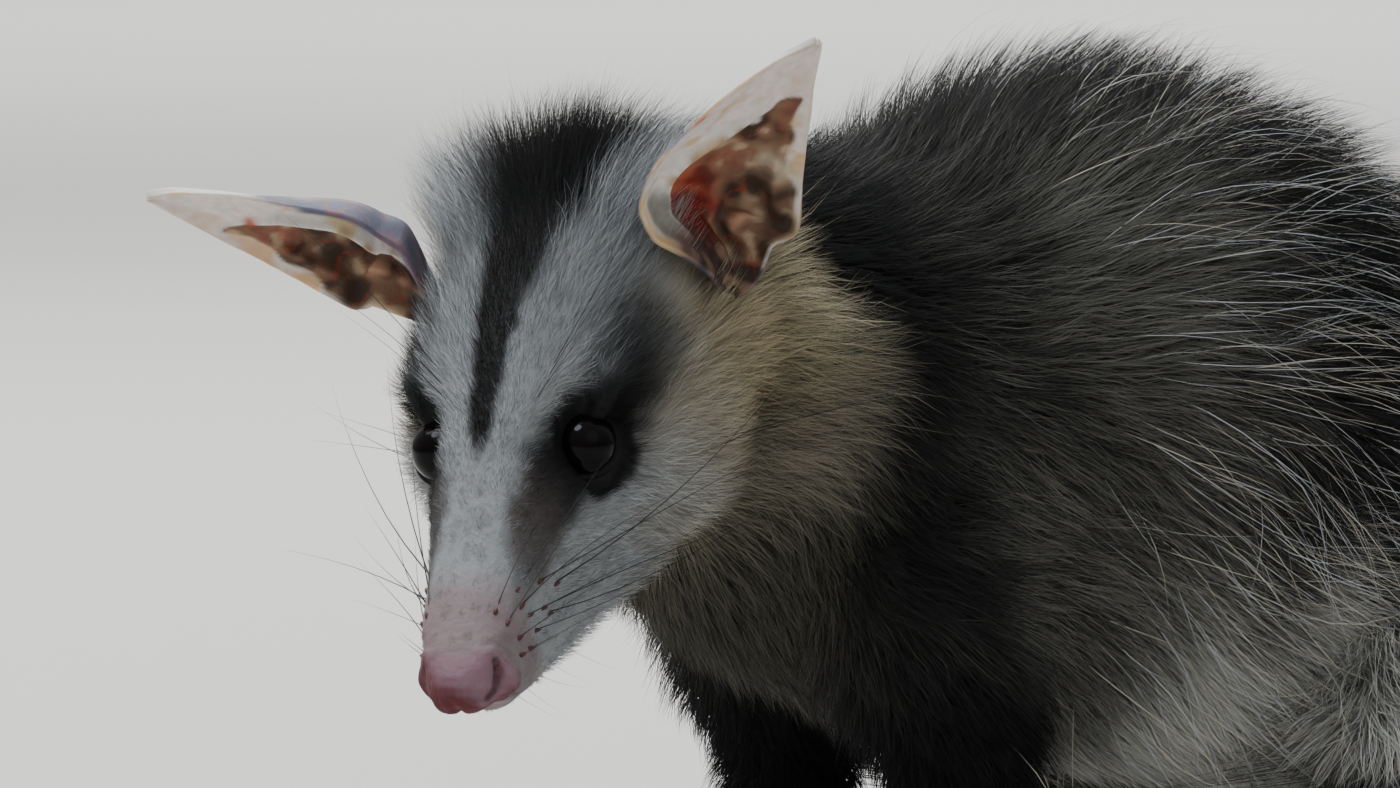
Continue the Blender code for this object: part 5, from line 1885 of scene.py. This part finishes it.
    @staticmethod
    def shell(heap: Heap, side: Side, inner: Array, outer: Array, tints: Sequence[Array]) -> None:
        """Join two grids of points in one closed sheet.

        Args:
            heap: Where it is added.
            side: The side.
            inner: Grid of the inside.
            outer: Grid of the outside.
            tints: Colours of both.
        """
        rows, across = inner.shape[:2]
        grid = np.arange(rows * across).reshape(rows, across)
        a, b = grid[:-1, :-1].ravel(), grid[:-1, 1:].ravel()
        c, d = grid[1:, 1:].ravel(), grid[1:, :-1].ravel()
        face = np.vstack([np.column_stack([a, b, c]), np.column_stack([a, c, d])])
        offset = rows * across
        loop = np.concatenate([grid[0, :], grid[1:, -1], grid[-1, -2::-1], grid[-2:0:-1, 0]])
        follow = np.roll(loop, -1)
        wall = np.vstack([
            np.column_stack([loop, loop + offset, follow + offset]),
            np.column_stack([loop, follow + offset, follow]),
        ])
        tris = np.vstack([face, face[:, ::-1] + offset, wall])
        if side is Side.RIGHT:
            tris = tris[:, ::-1]
        verts = np.vstack([HEAD.out(part.reshape(-1, 3)) for part in (inner, outer)])
        heap.add(verts, tris, np.vstack(tints))

    def make(self, side: Side, material: bpy.types.Material) -> bpy.types.Object:
        """Make one ear.

        Args:
            side: The side.
            material: Its material.

        Returns:
            The ear.
        """
        low, high = EAR_ROWS[0][0], EAR_ROWS[-1][0]
        share = np.repeat(np.linspace(low, high, self.ROWS)[:, None], self.ACROSS, axis=1)
        s = np.repeat(np.linspace(-1, 1, self.ACROSS)[None, :], self.ROWS, axis=0)
        middle = self.sheet(side, share, s)
        along = np.gradient(middle, axis=0)
        across = np.gradient(middle, axis=1)
        face = unit(np.cross(across, along))
        open_way = self.frame(side)[3]
        face = face * np.sign(face @ open_way)[..., None]
        wall = np.interp(share, self.SECTIONS[:, 0], self.SECTIONS[:, 4]) * (1.0 - 0.45 * np.abs(s) ** 4)
        ripple = 0.45 * np.sin(s * 7 + share * 9) * step(0.3, 0.9, share)
        middle = middle + face * ripple[..., None]
        flat = share.ravel(), s.ravel()
        raised = self.relief(side, middle.reshape(-1, 3), *flat).reshape(share.shape)
        inner = middle + face * (wall * self.WALL_SIDE + raised)[..., None]
        outer = middle - face * (wall * self.WALL_SIDE)[..., None]
        faces = ((inner, True), (outer, False))
        tints = [self.tint(side, part.reshape(-1, 3), *flat, inside) for part, inside in faces]
        heap = Heap()
        self.shell(heap, side, inner, outer, tints)
        return heap.make(self.maker, f"ear_{side.label}_cup", material)


class Details:
    """Eyes, claws and whiskers."""

    def __init__(self, maker: MeshMaker) -> None:
        """Start the draws."""
        self.maker = maker
        self.chance = np.random.default_rng(SEED + 9)

    def eye(self, side: Side, material: bpy.types.Material) -> bpy.types.Object:
        """Make one eyeball, rounder at its front.

        Args:
            side: The side.
            material: Its material.

        Returns:
            The eyeball.
        """
        forms = bmesh.new()
        bmesh.ops.create_icosphere(forms, subdivisions=5, radius=EYE_RADIUS)
        verts = np.array([vert.co[:] for vert in forms.verts])
        tris = np.array([[vert.index for vert in face.verts] for face in forms.faces])
        forms.free()
        look = unit(np.array(EYE_LOOK))
        front = verts @ look / EYE_RADIUS
        verts = verts * (1 + 0.035 * step(0.55, 0.95, front))[:, None] + np.array(EYE_PLACE)
        if side is Side.RIGHT:
            verts[:, 1] *= -1
            tris = tris[:, ::-1]
        return self.maker.make(f"eye_{side.label}_ball", HEAD.out(verts), tris, material)

    def claws(self, material: bpy.types.Material) -> bpy.types.Object:
        """Make the claws of all four feet in one piece.

        Args:
            material: Their material.

        Returns:
            The claws.
        """
        heap = Heap()
        for side in Side:
            for i, (root, angle, length, _, flip) in enumerate(toe_rows(side)):
                if i == len(TOES) + len(HIND_TOES):
                    continue
                turn = math.radians(angle)
                way = np.array([-math.cos(turn), -flip * math.sin(turn), 0.0])
                base = root + way * length * 0.93
                base[2] = 2.9
                t = np.linspace(0, 1, 9)[:, None]
                line = base + way * (CLAW_SPAN * t - CLAW_ROOTED)
                line[:, 2] = 3.0 + 0.5 * np.sin(t[:, 0] * 2.4) - 2.1 * t[:, 0] ** 2.2
                half = 0.82 * (1 - t[:, 0] ** 1.6) + 0.07
                verts, tris = sweep(line, np.column_stack([half * 0.8, half * 1.15]), 10)
                heap.add(verts, tris, mix(CLAW_ROOT, CLAW_TIP, np.clip((verts - base) @ way / 5.0, 0, 1)))
        return heap.make(self.maker, "claws", material)

    def bristle(self, heap: Heap, root: Array, way: Array, length: float, width: float) -> None:
        """Add a bent whisker in the head's frame.

        Args:
            heap: Where it is added.
            root: Its root.
            way: Its way.
            length: Its length.
            width: Its width.
        """
        t = np.linspace(0, 1, 8)[:, None]
        bend = np.cross(way, np.cross(way, self.chance.normal(0, 1, 3)))
        sag = unit(bend) * self.chance.uniform(0.10, 0.45) + np.array([-0.20, 0.0, -0.10])
        line = root + way * length * t + sag * length * t**2 * 0.6
        half = width * 0.5 * (1 - 0.93 * t[:, 0])
        verts, tris = sweep(line, np.column_stack([half, half]), 4, up=(0.3, 0.1, 1.0))
        heap.add(HEAD.out(verts), tris, WHISKER)

    def whiskers(self, data: SkinData, material: bpy.types.Material) -> bpy.types.Object:
        """Make the whiskers of the muzzle, brow, cheek and chin.

        Args:
            data: The skin.
            material: Their material.

        Returns:
            The whiskers.
        """
        heap = Heap()
        inside = data.head
        for side in Side:
            rows = [(x, z, length, width, "pad", turn) for x, z, turn, length, width in PAD_WHISKERS]
            for kind, count, width, (x, z, length), (dx, dz, longer) in WHISKER_FIELDS:
                rows += [
                    (x + dx * k, z + dz * k, length + longer * k, width, kind, 0.0) for k in range(count)
                ]
            for x, z, length, width, kind, turn in rows:
                mine = inside[:, 1] * side.value > 0.5
                off = np.hypot(inside[:, 0] - x, inside[:, 2] - z) + np.where(mine, 0, 1e3)
                if kind == "chin":
                    across = 3.0 + 2.0 * self.chance.random()
                    off = np.hypot(inside[:, 0] - x, inside[:, 1] * side.value - across)
                    off = off + np.where(inside[:, 2] < -12, 0, 1e3)
                near = int(np.argmin(off + 0.15 * np.maximum(20 - np.abs(inside[:, 1]), 0)))
                root = inside[near]
                normal = HEAD.way_into(data.normals[near])
                way = {
                    "brow": np.array([-0.55, 0.45 * side.value, 0.65]),
                    "cheek": np.array([-0.50, 0.85 * side.value, 0.10]),
                    "chin": np.array([-0.45, 0.25 * side.value, -0.70]),
                    "pad": np.array([-0.95, (-0.06 + 1.10 * turn) * side.value, 0.16 - 0.30 * turn]),
                }[kind]
                way = unit(way + normal * 0.34 + self.chance.normal(0, 0.07, 3))
                long = length * self.chance.uniform(0.8, 1.15)
                self.bristle(heap, root - normal * 0.5, way, long, width)
                if kind == "pad":
                    dot = np.linspace(0, 1, 4)[:, None]
                    line = root - normal * 0.35 + (normal * 0.45 + way * 1.1) * dot
                    half = 0.50 * np.sqrt(np.clip(1 - dot[:, 0] ** 2, 0.02, 1))
                    verts, tris = sweep(line, np.column_stack([half, half]), 8, up=(1.0, 0.2, 0.3))
                    heap.add(HEAD.out(verts), tris, FOLLICLE)
        return heap.make(self.maker, "whiskers", material)


def coat_kinds() -> List[HairKind]:
    """The kinds of hair of the whole coat.

    Returns:
        The kinds, in the order in which they grow.
    """

    def body(data: SkinData) -> Array:
        """The coat of the body."""
        return data.density * data.coarse

    def face(data: SkinData) -> Array:
        """The coat of the head, denser where it is short or deep."""
        dense = 1.0 + 1.6 * step(3.2, 1.2, data.depth) + 0.8 * step(9.0, 14.0, data.depth)
        return data.density * data.face * dense

    def paws(data: SkinData) -> Array:
        """The coat of paws and tail."""
        return data.density * np.maximum(1 - data.coarse - data.face, 0)

    def ridge(data: SkinData) -> Array:
        """The long hairs of back and flank."""
        return data.density * data.coarse * data.guard

    return [
        HairKind("coat_under", 125000, (0.80, 1.20), 0.36, (0.98, 0.50), 0.35, 0.40, body, joints=2),
        HairKind("coat_over", 104000, (1.10, 1.80), 0.24, (0.92, 0.42), 0.80, 0.34, body),
        HairKind("coat_face", 92000, (0.80, 1.38), 0.22, (0.82, 0.38), 0.32, 0.42, face),
        HairKind("coat_paws", 24000, (0.9, 1.5), 0.20, (0.45, 0.20), 0.1, 0.25, paws, joints=2),
        HairKind(
            "guard", 3900, (30.0, 50.0), 0.19, (1.02, -0.16), 0.0, 0.26, ridge,
            joints=6, length_by_depth=False, tip_white=0.5,
        ),
    ]


class Studio:
    """Floor, lights and camera."""

    TARGET = np.array([-178.37, -8.26, 126.0])
    LOOK = np.array([0.614, 0.786, -0.070])
    AWAY = 2000.0
    WIDTH = 259.3
    SENSOR = 36.0
    FLOOR_SIZE, FARTHEST = 30.0, 100.0
    FLOOR_TINT, SKY_TINT = (0.62, 0.61, 0.59), (0.86, 0.88, 0.90, 1.0)
    MODEL = (-0.12, 0.0, 0.10)
    LAMPS = (
        ("key", (-0.7, 0.9, 2.1), MODEL, 1.6, 28.0, (1.0, 0.98, 0.95)),
        ("top", (-1.15, 0.0, 1.82), (-0.2, -0.03, 0.14), 0.8, 23.0, (0.84, 0.92, 1.0)),
        ("rim", (0.9, 1.6, 1.7), MODEL, 1.3, 36.0, (1.0, 0.98, 0.96)),
        ("fill", (-0.6, -2.4, 1.5), MODEL, 2.0, 4.0, (0.95, 0.97, 1.0)),
        ("floor", (3.4, 4.4, 2.8), (3.4, 4.4, 0.0), 3.0, 150.0, (1.0, 1.0, 1.0)),
    )

    def floor(self) -> bpy.types.Object:
        """A plain, pale and flat floor, far wider than the picture.

        Returns:
            The floor.
        """
        forms = bmesh.new()
        bmesh.ops.create_grid(forms, x_segments=1, y_segments=1, size=self.FLOOR_SIZE)
        mesh = bpy.data.meshes.new("floor")
        forms.to_mesh(mesh)
        forms.free()
        made = linked("floor", mesh)
        mesh.materials.append(Looks.plain("floor", self.FLOOR_TINT, 0.9))
        return made

    def lamp(self, name: str, place: Row, aim: Row, size: float, power: float, color: Row) -> None:
        """A soft round lamp.

        Args:
            name: Its name.
            place: Where it is, in metres.
            aim: The spot that it is turned to.
            size: Its breadth.
            power: Its power in watts.
            color: Its colour.
        """
        lamp = bpy.data.lights.new(name, "AREA")
        lamp.shape = "DISK"
        lamp.size = size
        lamp.energy = power
        lamp.color = color
        made = linked(name, lamp)
        made.location = place
        made.rotation_euler = (Vector(aim) - Vector(place)).to_track_quat("-Z", "Y").to_euler()

    def light(self) -> None:
        """Light the model softly, mostly from above."""
        for row in self.LAMPS:
            self.lamp(*row)
        world = bpy.data.worlds.new("studio")
        world.use_nodes = True
        tree = world.node_tree
        set_inputs(tree.nodes["Background"], Color=self.SKY_TINT)
        coords = tree.nodes.new("ShaderNodeTexCoord")
        parts = tree.nodes.new("ShaderNodeSeparateXYZ")
        rise = tree.nodes.new("ShaderNodeMapRange")
        set_inputs(rise, From_Min=0.0, From_Max=0.9, To_Min=0.28, To_Max=0.90)
        tree.links.new(coords.outputs["Generated"], parts.inputs["Vector"])
        tree.links.new(parts.outputs["Z"], rise.inputs["Value"])
        tree.links.new(rise.outputs["Result"], tree.nodes["Background"].inputs["Strength"])
        bpy.context.scene.world = world

    def camera(self) -> None:
        """The camera of the photo."""
        data = bpy.data.cameras.new("photo")
        data.sensor_width = self.SENSOR
        data.lens = self.SENSOR * self.AWAY / self.WIDTH
        data.clip_end = self.FARTHEST
        made = linked("photo", data)
        back = unit(-self.LOOK)
        place = Vector(self.TARGET * MM) + Vector(back) * self.AWAY * MM
        made.location = place
        made.rotation_euler = Vector(-back).to_track_quat("-Z", "Y").to_euler()
        bpy.context.scene.camera = made


class Opossum:
    """The whole model."""

    FLESH = (
        "head", "nose", "neck", "torso", "tail_base", "tail_middle", "tail_tip",
        *(f"{part}_{side.label}" for side in Side
          for part in ("upper_arm", "forearm", "forefoot", "thigh", "shank", "hindfoot")),
    )

    def __init__(self) -> None:
        """Lay the body's lines and make the hair's finish."""
        self.maker = MeshMaker("root")
        self.anatomy = Anatomy()
        self.hair = Looks.hair("hair")

    def skin(self) -> SkinData:
        """Make the skin and say what is known of it.

        Returns:
            What is known at each vertex.
        """
        thing = self.anatomy.skin()
        sculptor = Sculptor()
        sculptor.refine(thing)
        sculptor.carve(thing)
        data = Pelage(self.anatomy).describe(SkinData.of(thing))
        data.points[:, 2] = np.maximum(data.points[:, 2], 0.0)
        bpy.data.objects.remove(thing)
        material = Looks.tinted("skin", 0.55, 0.12, Looks.grain("skin_grain", 900.0, 6.0, 0.5), 0.14)
        tints = np.clip(data.skin_tint, 0, 1)
        made = self.maker.make("skin", data.points, data.triangles, material, tints)
        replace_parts(made, *self.FLESH)
        LOG.info("skin: %d triangles", len(data.triangles))
        return data

    def build(self) -> None:
        """Make every piece."""
        data = self.skin()
        barber = Barber(data, self.maker, self.hair)
        for kind in coat_kinds():
            barber.grow(kind)
        smith = EarSmith(self.maker)
        ear = Looks.tinted("ear_skin", 0.60, 0.22, Looks.grain("ear_grain", 1600.0, 5.0, 0.25), 0.12)
        details = Details(self.maker)
        glossy = Looks.plain("eye", (0.003, 0.002, 0.002), 0.07)
        glossy.node_tree.nodes["Principled BSDF"].inputs["IOR"].default_value = 1.19
        for side in Side:
            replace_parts(smith.make(side, ear), f"ear_{side.label}")
            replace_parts(details.eye(side, glossy), f"eye_{side.label}")
        details.claws(Looks.tinted("claw", 0.32, 0.1))
        details.whiskers(data, Looks.tinted("whisker", 0.4, 0.0))


def main() -> None:
    """Build the scene round the frame."""
    logging.basicConfig(level=logging.INFO, format="%(message)s")
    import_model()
    Opossum().build()
    studio = Studio()
    studio.floor()
    studio.light()
    studio.camera()


if __name__ == "__main__":
    main()
